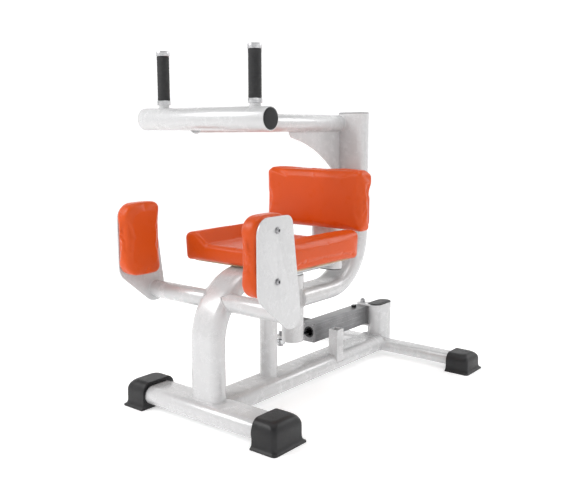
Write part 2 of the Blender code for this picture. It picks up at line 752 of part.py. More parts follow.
def build_swing_arm(mover, sleeve_block):
    post = swept_oval("swing_post", swing_path())
    part(cut(post, sleeve_block), "swing_post", "powder_coat", mover)
    cap = oval_plug("post_cap", (0, POST_Y, POST_TOP - CAP_T / 2), NO_TURN, (0, 0, 1))
    part(cap, "post_cap", "plastic", mover)

    post_block = guide(oval_block("post_block", 0.6, (0, POST_Y, 0.75), NO_TURN))
    bar_block = guide(round_block("bar_block", BAR_R + GAP, 0.7, (0, BAR_Y, BAR_Z), ALONG_X))
    middle = (ARM_X, (POST_Y + ARM_START) / 2, ARM_Z)
    arm = round_tube("arm_tube", ARM_R, WALL, POST_Y - ARM_START, middle, ALONG_Y)
    part(cut(arm, post_block, bar_block), "arm_tube", "powder_coat", mover)

    arm_block = guide(round_block("arm_block", ARM_R + GAP, 0.6, (ARM_X, 0.1, ARM_Z), ALONG_Y))
    top = ARM_Z - ARM_R + 0.006
    outline = [(POST_Y, top), (-0.016, top), (-0.013, 0.873), (-0.004, 0.863)]
    outline += arc_between((0.012, 0.8585), (POST_Y - 0.026, 0.694), 0.027)
    outline += [(POST_Y, 0.680)]
    gusset = extruded("arm_gusset", (outline,), GUSSET_T, (ARM_X, 0, 0), ALONG_X)
    part(cut(gusset, arm_block, post_block), "arm_gusset", "powder_coat", mover)

    bar = round_tube("handle_bar", BAR_R, WALL, 2 * BAR_HALF, (0, BAR_Y, BAR_Z), ALONG_X)
    part(bar, "handle_bar", "powder_coat", mover)
    insert = BAR_R - WALL - GAP
    for side, label in ((1, "left"), (-1, "right")):
        profile = [(0, CAP_T), (BAR_CAP_R - 0.001, CAP_T), (BAR_CAP_R, CAP_T - 0.001), (BAR_CAP_R, GAP),
                   (insert, GAP), (insert, -0.010), (0, -0.010)]
        name = "bar_cap_" + label
        cap = turned(name, profile, (side * BAR_HALF, BAR_Y, BAR_Z), (0, side * math.pi / 2, 0))
        part(cap, name, "plastic", mover)
    build_handles(mover, bar_block)


def build_handles(mover, bar_block):
    stem_top = GRIP_Z[1] - 0.002
    end_low = GRIP_Z[1] + GAP
    profile = [(0, END_CAP_TOP), (COLLAR_R - 0.002, END_CAP_TOP), (COLLAR_R, END_CAP_TOP - 0.002),
               (COLLAR_R, end_low), (0, end_low)]
    for side, label in ((1, "left"), (-1, "right")):
        x = HANDLE_SHIFT + side * HANDLE_HALF
        middle = (x, BAR_Y, (stem_top + BAR_Z) / 2)
        stem = round_tube("stem", STEM_R, WALL, stem_top - BAR_Z, middle, NO_TURN)
        part(cut(stem, bar_block), "handle_stem_" + label, "powder_coat", mover)
        height = GRIP_Z[1] - GRIP_Z[0]
        grip = ring("grip", GRIP_R, STEM_R + GAP, height, (x, BAR_Y, sum(GRIP_Z) / 2), edge=0.001)
        part(grip, "handle_grip_" + label, "rubber", mover)
        height = COLLAR_Z[1] - COLLAR_Z[0]
        collar = ring("collar", COLLAR_R, STEM_R + GAP, height, (x, BAR_Y, sum(COLLAR_Z) / 2), edge=0.001)
        part(collar, "grip_collar_" + label, "aluminium", mover)
        end_cap = turned("end_cap", profile, (x, BAR_Y, 0))
        part(end_cap, "grip_end_cap_" + label, "aluminium", mover)


# ---------------------------------------------------------------- damper

def build_damper():
    half_w = DAMPER_W / 2
    half_h = DAMPER_H / 2
    inner_w = half_w - DAMPER_WALL
    inner_h = half_h - DAMPER_WALL
    loops = (box_outline((-half_w, -half_h), (half_w, half_h), 0.006),
             box_outline((-inner_w, -inner_h), (inner_w, inner_h), 0.002))
    length = DAMPER_Y[1] - DAMPER_Y[0]
    centre = (DAMPER_X, sum(DAMPER_Y) / 2, DAMPER_Z)
    part(extruded("damper_housing", loops, length, centre, ALONG_Y), "damper_housing", "damper_grey")

    gland_t = 0.012
    loops = (box_outline((-inner_w + GAP, -inner_h + GAP), (inner_w - GAP, inner_h - GAP), 0.0018),
             circle(GLAND_HOLE_R, 32))
    centre = (DAMPER_X, DAMPER_Y[0] + gland_t / 2, DAMPER_Z)
    part(extruded("damper_gland", loops, gland_t, centre, ALONG_Y), "damper_gland", "damper_grey")

    block_t = 0.010
    outline = box_outline((-half_w, -half_h), (half_w, half_h), 0.006)
    centre = (DAMPER_X, DAMPER_Y[1] + GAP + block_t / 2, DAMPER_Z)
    rear = extruded("damper_rear_eye", (outline,), block_t, centre, ALONG_Y)
    lug_h = DAMPER_H
    lug = guide(round_block("rear_lug", REAR_EYE_R, lug_h, (REAR_EYE_X, REAR_EYE_Y, DAMPER_Z), steps=24))
    neck_y = (DAMPER_Y[1] + 0.006, REAR_EYE_Y)
    neck_outline = box_outline((REAR_EYE_X - 0.011, neck_y[0]), (REAR_EYE_X + 0.011, neck_y[1]), 0.001)
    neck = guide(extruded("rear_neck", (neck_outline,), lug_h - 0.012, (0, 0, DAMPER_Z)))
    hole = guide(round_block("rear_eye_hole", PIN_R + GAP, 0.2, (REAR_EYE_X, REAR_EYE_Y, DAMPER_Z), steps=24))
    part(cut(join(rear, neck, lug), hole), "damper_rear_eye", "damper_grey")

    plate_t = 0.006
    side_x = -TUBE_T / 2
    side_z = lug_h + 4 * GAP + 0.002
    bracket = extruded("damper_bracket", (box_outline((side_x - 0.005, REAR_EYE_Y - 0.013),
                                                      (side_x + 0.004, REAR_EYE_Y + 0.021), 0.001),),
                       side_z, (0, 0, DAMPER_Z))
    for way, label in ((-1, "lower"), (1, "upper")):
        z = DAMPER_Z + way * (lug_h / 2 + 2 * GAP + plate_t / 2)
        ear = oval_block("bracket_ear_" + label, plate_t, (-0.037, REAR_EYE_Y, z), NO_TURN, 0.076, 0.040, 0)
        join(bracket, guide(ear))
    bolt_hole = round_block("bracket_hole", PIN_R + GAP, 0.3, (REAR_EYE_X, REAR_EYE_Y, DAMPER_Z), steps=24)
    part(cut(bracket, stub_block(), guide(bolt_hole)), "damper_bracket", "powder_coat")

    bottom = DAMPER_Z - lug_h / 2 - plate_t - 0.006
    seat = DAMPER_Z + lug_h / 2 + 2 * GAP + plate_t + GAP
    bolt_head = 0.0105
    top = seat + 0.018
    profile = [(0, top), (bolt_head - 0.001, top), (bolt_head, top - 0.001), (bolt_head, seat),
               (PIN_R, seat), (PIN_R, bottom), (0, bottom)]
    part(turned("bracket_bolt", profile, (REAR_EYE_X, REAR_EYE_Y, 0), steps=24), "bracket_bolt", "zinc")


def build_dial(mover):
    low = DAMPER_Z + DAMPER_H / 2 + GAP
    profile = [(0, low + 0.009), (DIAL_R - 0.002, low + 0.009), (DIAL_R, low + 0.007), (DIAL_R, low), (0, low)]
    dial = turned("resistance_dial", profile, (DAMPER_X, DIAL_Y, 0), steps=18)
    part(dial, "resistance_dial", "plastic", mover)


def build_rod(mover):
    eye = ring("damper_rod", EYE_R, PIN_R + GAP, EYE_H, (-CRANK_R, PIVOT_Y, DAMPER_Z))
    neck_y = (PIVOT_Y + EYE_R - 0.003, PIVOT_Y + EYE_R + 0.022)
    neck = round_block("eye_neck", EYE_H / 2 - 0.0002, neck_y[1] - neck_y[0],
                       (-CRANK_R, sum(neck_y) / 2, DAMPER_Z), ALONG_Y, steps=24)
    start = neck_y[1] - 0.002
    bar = round_block("rod_bar", ROD_R - 0.001, ROD_END - start, (-CRANK_R, (ROD_END + start) / 2, DAMPER_Z),
                      ALONG_Y, steps=24)
    part(join(eye, guide(neck), guide(bar)), "damper_rod", "steel", mover)
    piston = round_block("damper_piston", PISTON_R, 0.016, (-CRANK_R, ROD_END + GAP + 0.008, DAMPER_Z), ALONG_Y)
    part(piston, "damper_piston", "plastic", mover)


def axis_empty(name, place):
    empty = bpy.data.objects.new(name, None)
    empty.location = place
    empty.empty_display_size = 0.05
    PARTS.objects.link(empty)
    return empty


empty_scene()
PARTS = new_collection("rotary_torso_machine")
CUTTERS = new_collection("cutters")
build_base()
build_feet()
build_seat_frame()
build_seat()
build_back_pad()
build_thigh_pads()
build_pivot_shaft()
SWING_AXIS = axis_empty("swing_axis", (0, PIVOT_Y, 0))
build_swing_pivot(SWING_AXIS)
build_swing_arm(SWING_AXIS, build_crank(SWING_AXIS))
build_damper()
build_rod(axis_empty("rod_axis", (-CRANK_R, PIVOT_Y, DAMPER_Z)))
build_dial(axis_empty("dial_axis", (DAMPER_X, DIAL_Y, DAMPER_Z)))
bpy.context.view_layer.update()
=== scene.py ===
"""Looks for the seated rotary torso machine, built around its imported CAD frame."""

import json
import math

import bmesh
import bpy
import numpy as np
from mathutils import Matrix, Vector


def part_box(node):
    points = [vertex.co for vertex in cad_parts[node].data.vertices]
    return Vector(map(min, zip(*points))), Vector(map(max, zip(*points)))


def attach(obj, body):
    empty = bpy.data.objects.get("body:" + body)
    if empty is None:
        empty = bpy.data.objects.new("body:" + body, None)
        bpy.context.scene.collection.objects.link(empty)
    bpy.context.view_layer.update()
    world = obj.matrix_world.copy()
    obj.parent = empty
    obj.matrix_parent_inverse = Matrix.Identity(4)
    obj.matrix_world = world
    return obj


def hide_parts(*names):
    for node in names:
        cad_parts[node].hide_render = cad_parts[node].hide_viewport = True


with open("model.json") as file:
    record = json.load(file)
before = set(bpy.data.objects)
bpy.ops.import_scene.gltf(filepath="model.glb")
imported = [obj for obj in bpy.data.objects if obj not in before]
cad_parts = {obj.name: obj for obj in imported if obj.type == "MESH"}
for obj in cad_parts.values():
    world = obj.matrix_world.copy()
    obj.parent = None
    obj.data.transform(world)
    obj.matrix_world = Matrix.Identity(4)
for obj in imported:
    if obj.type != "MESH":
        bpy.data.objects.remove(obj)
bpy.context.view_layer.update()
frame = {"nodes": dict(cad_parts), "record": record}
NODES = frame["nodes"]
RECORD = frame["record"]
BODY = {node: body for body, nodes in RECORD["behaviour"]["bodies"].items() for node in nodes}
SLOT = {entry["node"]: entry["material_slot"] for entry in RECORD["subparts"]}
SIDES = ((1, "left"), (-1, "right"))
TAU = 2 * math.pi

# Sizes that the boxes of the CAD nodes don't give
TUBE_T = 0.060
TUBE_W = 0.120
SMALL_T = 0.040
SMALL_W = 0.080
BEND_R = 0.188
BEAD_R = 0.0030
FINE_BEAD_R = 0.0026
EDGE = 0.0008
ON_AXIS = 0.00005

# Cushions: how far a pad starts inside its CAD solid, its rounded ends, and how it swells
PAD_INSET = 0.0022
PAD_END_R = 0.013
PAD_VOXEL = 0.0045
PAD_SWELL = 0.004
CLOTH_FRAMES = 20
CLOTH = dict(quality=4, mass=0.3, tension_stiffness=25, compression_stiffness=25, shear_stiffness=12,
             bending_stiffness=1.5, use_pressure=True, uniform_pressure_force=4.0)
BACK_PAD_THICK = 0.062
BACK_ROLL_RISE = 0.152

# Studio and camera
BACKDROP_GLOW = 0.37
WORLD_STRENGTH = 0.30
CAMERA_PLACE = (1.562, -2.008, 0.9)
CAMERA_TURN = 38.5
CAMERA_TILT = 8.9
LENS = 45.6


def low(node):
    return Vector(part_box(node)[0])


def high(node):
    return Vector(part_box(node)[1])


def mid(node):
    return (low(node) + high(node)) / 2


def half_size(node):
    return (high(node) - low(node)) / 2


# ---- materials

def link(tree, start, end):
    tree.links.new(start, end)


def noise(tree, coords, scale, detail=4.0):
    node = tree.nodes.new("ShaderNodeTexNoise")
    node.inputs["Scale"].default_value = scale
    node.inputs["Detail"].default_value = detail
    node.inputs["Roughness"].default_value = 0.55
    link(tree, coords, node.inputs["Vector"])
    return node.outputs["Fac"]


def cell_walls(tree, coords, scale):
    node = tree.nodes.new("ShaderNodeTexVoronoi")
    node.feature = "DISTANCE_TO_EDGE"
    node.inputs["Scale"].default_value = scale
    link(tree, coords, node.inputs["Vector"])
    return node.outputs["Distance"]


def ramp(tree, value, start, end, out_start=0.0, out_end=1.0):
    node = tree.nodes.new("ShaderNodeMapRange")
    numbers = (start, end, out_start, out_end)
    for socket, number in zip(("From Min", "From Max", "To Min", "To Max"), numbers):
        node.inputs[socket].default_value = number
    link(tree, value, node.inputs["Value"])
    return node.outputs["Result"]


def maths(tree, kind, first, second):
    node = tree.nodes.new("ShaderNodeMath")
    node.operation = kind
    for socket, value in zip(node.inputs, (first, second)):
        if isinstance(value, (int, float)):
            socket.default_value = value
        else:
            link(tree, value, socket)
    return node.outputs[0]


def blend_colour(tree, factor, first, second):
    node = tree.nodes.new("ShaderNodeMix")
    node.data_type = "RGBA"
    link(tree, factor, node.inputs["Factor"])
    for socket, value in zip((node.inputs[6], node.inputs[7]), (first, second)):
        if isinstance(value, tuple):
            socket.default_value = (*value, 1)
        else:
            link(tree, value, socket)
    return node.outputs[2]


def edge_mask(tree):
    """White where the surface turns sharply close by: exposed edges and corners."""
    bevel = tree.nodes.new("ShaderNodeBevel")
    bevel.samples = 4
    bevel.inputs["Radius"].default_value = 0.0016
    geometry = tree.nodes.new("ShaderNodeNewGeometry")
    dot = tree.nodes.new("ShaderNodeVectorMath")
    dot.operation = "DOT_PRODUCT"
    link(tree, bevel.outputs["Normal"], dot.inputs[0])
    link(tree, geometry.outputs["Normal"], dot.inputs[1])
    return ramp(tree, dot.outputs["Value"], 0.995, 0.90)


def surface(name, dark, light, rough, scale, depth, stretch=(1, 1, 1), mottle=9.0, spread=0.10,
            cell=0.0, edge=None, metallic=0.0, coat=0.0, coat_rough=0.1, specular=0.5):
    """A shaded material: broad mottling, fine grain in bump and roughness, and touched edges."""
    mat = bpy.data.materials.new(name)
    mat.use_nodes = True
    tree = mat.node_tree
    shader = tree.nodes["Principled BSDF"]
    shader.inputs["Metallic"].default_value = metallic
    shader.inputs["Coat Weight"].default_value = coat
    shader.inputs["Coat Roughness"].default_value = coat_rough
    shader.inputs["Specular IOR Level"].default_value = specular
    coords = tree.nodes.new("ShaderNodeTexCoord").outputs["Object"]
    mapping = tree.nodes.new("ShaderNodeMapping")
    mapping.inputs["Scale"].default_value = stretch
    link(tree, coords, mapping.inputs["Vector"])
    grainy = mapping.outputs["Vector"]
    broad = ramp(tree, noise(tree, coords, mottle), 0.35, 0.65)
    fine = noise(tree, grainy, scale, 3.0)
    colour = blend_colour(tree, broad, dark, light)
    height = fine
    if cell:
        creases = ramp(tree, cell_walls(tree, grainy, cell), 0.0, 0.16)
        height = maths(tree, "ADD", creases, maths(tree, "MULTIPLY", fine, 0.5))
        # Painted shade: the colour is darkened in the creases of the grain, as if shade falls in them
        painted_crease_shade = tuple(channel * 0.84 for channel in dark)
        colour = blend_colour(tree, ramp(tree, creases, 0.0, 1.0, 0.72, 1.0), painted_crease_shade, colour)
    if edge:
        patchy = ramp(tree, noise(tree, coords, 120.0), 0.40, 0.62)
        worn = maths(tree, "MULTIPLY", edge_mask(tree), patchy)
        colour = blend_colour(tree, maths(tree, "MULTIPLY", worn, 0.6), colour, edge)
    link(tree, colour, shader.inputs["Base Color"])
    uneven = maths(tree, "ADD", maths(tree, "MULTIPLY", fine, 0.5),
                   maths(tree, "MULTIPLY", noise(tree, coords, mottle * 5), 0.5))
    gloss = ramp(tree, uneven, 0.3, 0.7, rough - spread / 2, rough + spread / 2)
    link(tree, gloss, shader.inputs["Roughness"])
    bump = tree.nodes.new("ShaderNodeBump")
    bump.inputs["Strength"].default_value = 0.8
    bump.inputs["Distance"].default_value = depth
    link(tree, height, bump.inputs["Height"])
    link(tree, bump.outputs["Normal"], shader.inputs["Normal"])
    return mat


# Colours are (dark, light) ends of the mottling; depth is the bump's in metres
LOOKS = {
    "silver_powder_coat": dict(
        dark=(0.585, 0.585, 0.59), light=(0.595, 0.595, 0.60), rough=0.27, scale=900, depth=0.000010,
        spread=0.03, mottle=6, metallic=0.15, coat=0.25, coat_rough=0.07),
    "orange_vinyl": dict(
        dark=(0.59, 0.068, 0.003), light=(0.65, 0.077, 0.004), rough=0.30, scale=1500, depth=0.00007,
        cell=620, mottle=5, specular=0.28),
    "rubber_feet": dict(
        dark=(0.009, 0.009, 0.010), light=(0.014, 0.014, 0.015), rough=0.40, scale=1800, depth=0.00014,
        mottle=22, spread=0.14, edge=(0.05, 0.05, 0.05), specular=0.35),
    "grip_rubber": dict(
        dark=(0.012, 0.012, 0.013), light=(0.020, 0.020, 0.021), rough=0.62, scale=2600, depth=0.00018,
        cell=1500, mottle=30, spread=0.12),
    "black_plastic": dict(
        dark=(0.007, 0.007, 0.008), light=(0.011, 0.011, 0.012), rough=0.38, scale=2200, depth=0.00010,
        mottle=25, spread=0.12, edge=(0.04, 0.04, 0.04), specular=0.30),
    "plywood": dict(
        dark=(0.30, 0.19, 0.10), light=(0.52, 0.37, 0.22), rough=0.62, scale=60, depth=0.00025,
        stretch=(1.0, 14.0, 22.0), mottle=14),
    "zinc_fasteners": dict(
        dark=(0.30, 0.30, 0.31), light=(0.40, 0.40, 0.41), rough=0.30, scale=2400, depth=0.00008,
        mottle=160, spread=0.16, metallic=1.0, edge=(0.80, 0.80, 0.80)),
    "bright_steel": dict(
        dark=(0.56, 0.57, 0.58), light=(0.64, 0.65, 0.66), rough=0.20, scale=260, depth=0.00004,
        stretch=(8, 1, 8), mottle=60, metallic=1.0, edge=(0.75, 0.75, 0.76)),
    "brushed_aluminium": dict(
        dark=(0.46, 0.46, 0.47), light=(0.56, 0.56, 0.57), rough=0.34, scale=160, depth=0.00005,
        stretch=(1, 1, 16), mottle=90, metallic=1.0, edge=(0.88, 0.88, 0.88)),
    "damper_grey": dict(
        dark=(0.20, 0.20, 0.205), light=(0.25, 0.25, 0.255), rough=0.32, scale=900, depth=0.00004,
        stretch=(6, 1, 6), mottle=18, metallic=0.5, edge=(0.66, 0.66, 0.67)),
}
MATERIALS = {slot: surface(slot, **look) for slot, look in LOOKS.items()}


def floor_material():
    mat = surface("floor_paper", (0.90, 0.90, 0.90), (0.92, 0.92, 0.92), rough=0.75, scale=300, depth=0.00004)
    shader = mat.node_tree.nodes["Principled BSDF"]
    shader.inputs["Emission Color"].default_value = (1, 1, 1, 1)
    shader.inputs["Emission Strength"].default_value = BACKDROP_GLOW
    return mat


# ---- publishing pieces

def finish_mesh(mesh, angle):
    work = bmesh.new()
    work.from_mesh(mesh)
    bmesh.ops.recalc_face_normals(work, faces=work.faces)
    sharp = math.radians(angle)
    for face in work.faces:
        face.smooth = True
    for edge in work.edges:
        if len(edge.link_faces) == 2:
            edge.smooth = edge.calc_face_angle(0) < sharp
    work.to_mesh(mesh)
    work.free()


def publish(name, verts, faces, body, slot, angle=38, stands_for=()):
    mesh = bpy.data.meshes.new(name)
    mesh.from_pydata([tuple(vert) for vert in verts], [], faces)
    finish_mesh(mesh, angle)
    return place(bpy.data.objects.new(name, mesh), body, slot, stands_for)


def place(obj, body, slot, stands_for=()):
    bpy.context.scene.collection.objects.link(obj)
    obj.data.materials.clear()
    obj.data.materials.append(MATERIALS[slot])
    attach(obj, body)
    if stands_for:
        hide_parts(*stands_for)
    return obj


def for_node(node, verts, faces, angle=38):
    return publish("look_" + node, verts, faces, BODY[node], SLOT[node], angle, (node,))


# ---- outlines and lofts

def oval(width, thick, grow):
    radius = thick / 2 + grow
    reach = (width - thick) / 2
    points = []
    for side, start in ((1, -90), (-1, 90)):
        for step in range(19):
            angle = math.radians(start + 10 * step)
            points.append((side * reach + radius * math.cos(angle), radius * math.sin(angle)))
    return points


def circle(radius, steps=64):
    return [(radius * math.cos(TAU * k / steps), radius * math.sin(TAU * k / steps)) for k in range(steps)]


def rounded_box(half_u, half_v, radius, steps=6):
    points = []
    for quarter, (su, sv) in enumerate(((1, 1), (-1, 1), (-1, -1), (1, -1))):
        for step in range(steps + 1):
            angle = math.radians(90 * quarter + 90 * step / steps)
            points.append((su * (half_u - radius) + radius * math.cos(angle),
                           sv * (half_v - radius) + radius * math.sin(angle)))
    return points


def loft(rings, closed=False, capped=True):
    """Quads between rings of equal length, capped at both ends unless the loft closes on itself."""
    count = len(rings[0])
    verts = [point for ring in rings for point in ring]
    faces = []
    spans = len(rings) if closed else len(rings) - 1
    for row in range(spans):
        here = row * count
        there = ((row + 1) % len(rings)) * count
        for k in range(count):
            after = (k + 1) % count
            faces.append((here + k, here + after, there + after, there + k))
    if not closed and capped:
        faces.append(tuple(range(count))[::-1])
        last = (len(rings) - 1) * count
        faces.append(tuple(range(last, last + count)))
    return verts, faces


def axes(direction, width_axis=None):
    """Two unit axes across a direction, the first along width_axis if one is given."""
    along = Vector(direction).normalized()
    if width_axis is None:
        width_axis = (0, 0, 1) if abs(along.z) < 0.9 else (1, 0, 0)
    first = Vector(width_axis)
    first = (first - along * first.dot(along)).normalized()
    return first, along.cross(first)


def bar(outline, start, end, width_axis=None, edge=EDGE):
    """A closed straight bar: outline(grow) swept from start to end, its rims eased."""
    start = Vector(start)
    end = Vector(end)
    along = (end - start).normalized()
    first, second = axes(along, width_axis)
    stops = [(0.0, -edge), (edge * 0.3, -edge * 0.3), (edge, 0.0)]
    length = (end - start).length
    stops += [(length - distance, grow) for distance, grow in reversed(stops)]
    return swept(outline, [(start + along * distance, first, second, grow) for distance, grow in stops])


def rod(radius, start, end, steps=64):
    """A closed round bar with eased rims."""
    def outline(grow):
        return circle(radius + grow, steps)
    return bar(outline, start, end)


def box_outline(half_u, half_v, radius, steps=6, share=1.0):
    """The outline of a rounded box, whose thin side takes only a share of what it grows by."""
    def outline(grow):
        return rounded_box(half_u + grow, half_v + grow * share, radius, steps)
    return outline


def lathe(profile, centre, direction=(0, 0, 1), steps=72, closed=False):
    """Profile points (radius, height) turned about an axis. A closed profile makes an open tube."""
    centre = Vector(centre)
    along = Vector(direction).normalized()
    first, second = axes(along)
    rings = []
    for radius, height in profile:
        rings.append([centre + along * height + first * u + second * v for u, v in circle(radius, steps)])
    return loft(rings, closed)


def pipe(outer, inner, start, end, steps=72, edge=EDGE):
    """An open tube with eased rims at both ends."""
    span = Vector(end) - Vector(start)
    length = span.length
    profile = [(inner, edge), (inner + edge, 0), (outer - edge, 0), (outer, edge),
               (outer, length - edge), (outer - edge, length), (inner + edge, length), (inner, length - edge)]
    return lathe(profile, start, span, steps, closed=True)


def swept(outline, stations):
    """Rings of an outline at stations (centre, first axis, second axis, grow)."""
    rings = []
    for centre, first, second, grow in stations:
        rings.append([centre + first * u + second * v for u, v in outline(grow)])
    return loft(rings)


def eased_ends(stations):
    """Adds eased rims to the first and last station of a sweep."""
    centre, first, second = stations[0][:3]
    step = (stations[1][0] - centre).normalized()
    stations.insert(1, (centre + step * EDGE, first, second, 0.0))
    stations[0] = (centre, first, second, -EDGE)
    centre, first, second = stations[-1][:3]
    step = (stations[-2][0] - centre).normalized()
    stations.insert(-1, (centre + step * EDGE, first, second, 0.0))
    stations[-1] = (centre, first, second, -EDGE)
    return stations


def bent_tube(points, steps=40):
    """Stations of the flat-oval tube through a start, a quarter bend and an end, in the YZ plane.

    points: start (y, z), corner of the bend (y, z), end (y, z)."""
    start, corner, end = [Vector((0, y, z)) for y, z in points]
    into = (corner - start).normalized()
    out = (end - corner).normalized()
    wide = Vector((1, 0, 0))
    stations = []
    bend_start = corner - into * BEND_R
    centre = bend_start + out * BEND_R
    stations.append((start, wide, into.cross(wide), 0.0))
    for k in range(steps + 1):
        angle = math.pi / 2 * k / steps
        point = centre - out * (BEND_R * math.cos(angle)) + into * (BEND_R * math.sin(angle))
        heading = into * math.cos(angle) + out * math.sin(angle)
        stations.append((point, wide, heading.cross(wide), 0.0))
    stations.append((end, wide, out.cross(wide), 0.0))
    return eased_ends(stations)


def bead(name, points, radius=BEAD_R, body="frame", closed=True):
    """A weld bead along a path, with the ripples the torch leaves."""
    path = np.array([tuple(point) for point in points])
    if closed:
        path = np.vstack([path, path[:1]])
    lengths = np.concatenate([[0], np.cumsum(np.linalg.norm(np.diff(path, axis=0), axis=1))])
    count = max(24, int(lengths[-1] / 0.0011))
    marks = np.linspace(0, lengths[-1], count, endpoint=not closed)
    line = np.stack([np.interp(marks, lengths, path[:, axis]) for axis in range(3)], axis=1)
    if closed:
        ahead = np.roll(line, -1, axis=0) - np.roll(line, 1, axis=0)
    else:
        ahead = np.gradient(line, axis=0)
    middle = line.mean(axis=0)
    rings = []
    for index in range(count):
        along = Vector(ahead[index]).normalized()
        away = Vector(line[index] - middle)
        if not closed:
            away = Vector((0.6, 0.3, 0.74))
        out = (away - along * away.dot(along)).normalized()
        side = along.cross(out)
        ripple = 1 + 0.10 * math.cos(TAU * marks[index] / 0.0036) + 0.05 * math.sin(marks[index] * 610)
        size = radius * ripple
        if not closed:
            size *= 0.35 + 0.65 * min(1.0, index / 3, (count - 1 - index) / 3)
        rings.append([Vector(line[index]) + out * u + side * v for u, v in circle(size, 10)])
    verts, faces = loft(rings, closed=closed)
    return publish(name, verts, faces, body, "silver_powder_coat", angle=80)


# ---- reworked CAD solids

def refined(node, bevel, segments=3):
    """The CAD solid of a node with its flat faces joined up and its edges rounded."""
    mesh = NODES[node].data.copy()
    work = bmesh.new()
    work.from_mesh(mesh)
    bmesh.ops.remove_doubles(work, verts=work.verts, dist=0.00002)
    bmesh.ops.dissolve_limit(work, angle_limit=math.radians(1.0), verts=work.verts, edges=work.edges)
    sharp = math.radians(30)
    edges = [edge for edge in work.edges if len(edge.link_faces) == 2 and edge.calc_face_angle(0) > sharp]
    bmesh.ops.bevel(work, geom=edges, offset=bevel, segments=segments, profile=0.5, affect="EDGES",
                    clamp_overlap=True)
    work.to_mesh(mesh)
    work.free()
    finish_mesh(mesh, 42)
    mesh.name = "look_" + node
    return place(bpy.data.objects.new("look_" + node, mesh), BODY[node], SLOT[node], (node,))


# ---- base frame

def big_oval(grow=0.0):
    return oval(TUBE_W, TUBE_T, grow)


def small_oval(grow=0.0):
    return oval(SMALL_W, SMALL_T, grow)


def straight_ovals():
    for node, outline, along, wide in (("front_cross_tube", big_oval, 0, (0, 1, 0)),
                                       ("rear_cross_tube", small_oval, 0, (0, 1, 0)),
                                       ("rear_stub_tube", big_oval, 2, (0, 1, 0)),
                                       ("back_upright", big_oval, 2, (1, 0, 0))):
        start = mid(node)
        end = mid(node)
        start[along] = low(node)[along]
        end[along] = high(node)[along]
        for_node(node, *bar(outline, start, end, wide))


def tube_side(offset, width=TUBE_W, thick=TUBE_T):
    """How far a flat-oval tube reaches across its width at an offset from its middle plane."""
    return (width - thick) / 2 + math.sqrt(max(0.0, (thick / 2) ** 2 - offset ** 2))


def tube_face(offset, width=TUBE_W, thick=TUBE_T):
    """How thick half of a flat-oval tube is at an offset across its width."""
    past = max(0.0, abs(offset) - (width - thick) / 2)
    return math.sqrt(max(0.0, (thick / 2) ** 2 - past ** 2))


def base_frame():
    straight_ovals()
    front = mid("front_cross_tube")
    base_z = front.z
    spine_end = high("spine_tube").y
    top = high("spine_tube").z
    for_node("spine_tube", *bar(big_oval, (0, front.y, base_z), (0, spine_end, base_z), (1, 0, 0)))
    points = [(x, front.y + tube_side(z), base_z + z) for x, z in big_oval()]
    bead("weld_spine_front", points)
    rear = mid("rear_cross_tube")
    points = []
    for x, z in big_oval():
        reach = tube_side(base_z + z - rear.z, SMALL_W, SMALL_T)
        points.append((x, min(rear.y - reach, spine_end), base_z + z))
    bead("weld_rear", points, FINE_BEAD_R)
    stub_welds(rear, top)
    bead("weld_column", [(u, front.y + v, top) for u, v in big_oval()])
    socket_weld(base_z)


def stub_welds(rear, top):
    """Beads round the rear stub post: over the rear tube, and across the end of the spine."""
    stub = mid("rear_stub_tube")
    bottom = low("rear_stub_tube").z
    saddle = []
    for u, v in big_oval():
        drop = tube_face(stub.y + u - rear.y, SMALL_W, SMALL_T)
        height = rear.z + drop if drop > 0 else bottom
        saddle.append((v, stub.y + u, max(height, bottom)))
    bead("weld_stub", saddle, FINE_BEAD_R)
    nose = stub.y - (TUBE_W - TUBE_T) / 2
    points = []
    for angle in range(-90, 91, 6):
        turn = math.radians(angle)
        points.append((TUBE_T / 2 * math.sin(turn), nose - TUBE_T / 2 * math.cos(turn), top))
    bead("weld_stub_spine", points, FINE_BEAD_R, closed=False)


def socket_weld(base_z):
    socket = mid("accessory_socket")
    half = half_size("accessory_socket").x
    widest = TUBE_W / 2 - 0.0002
    points = []
    for u, v in rounded_box(half, half, 0.003):
        x = socket.x + u
        points.append((x, socket.y + v, base_z + tube_face(min(x, widest))))
    bead("weld_socket", points, 0.0022)


def oval_cap(node, facing, wide):
    """A plastic plug's lid: eased rim, a shallow groove, and a slightly raised middle."""
    facing = Vector(facing)
    centre = mid(node) + facing * (half_size(node).z - 0.003)
    first, second = axes(facing, wide)
    profile = ((0.0002, 0), (0.0018, 0), (0.0026, -0.0006), (0.0030, -0.0018), (0.0030, -0.0065),
               (0.0024, -0.0072), (0.0024, -0.0080), (0.0029, -0.0087), (0.0029, -0.020))
    stations = [(centre + facing * height, first, second, grow) for height, grow in profile]
    for_node(node, *swept(big_oval, stations))


def caps():
    oval_cap("rear_stub_cap", (0, 0, 1), (0, 1, 0))
    oval_cap("post_cap", (0, 0, 1), (1, 0, 0))
    oval_cap("upright_cap", (0, 0, -1), (1, 0, 0))


def foot_inset(height, total):
    flare = 0.0085 * (1 - math.exp(-max(0.0, height - 0.004) / 0.0045))
    up = max(0.0, (height / total - 0.6) / 0.4)
    return flare + 0.0270 * (1 - math.sqrt(max(0.0, 1 - up * up)))


def foot_ring(width, half, inset, height):
    """One level of a shoe: rounded outside, nearly square on the side the tube enters."""
    outer = 0.012 + inset * 0.35
    inner = 0.0025
    u1 = width - inset
    v1 = half - inset
    points = []
    for cu, cv, radius, start in ((u1 - outer, v1 - outer, outer, 0), (inner, v1 - inner, inner, 90),
                                  (inner, -v1 + inner, inner, 180), (u1 - outer, -v1 + outer, outer, 270)):
        for step in range(9):
            angle = math.radians(start + 90 * step / 8)
            points.append((cu + radius * math.cos(angle), cv + radius * math.sin(angle), height))
    return points


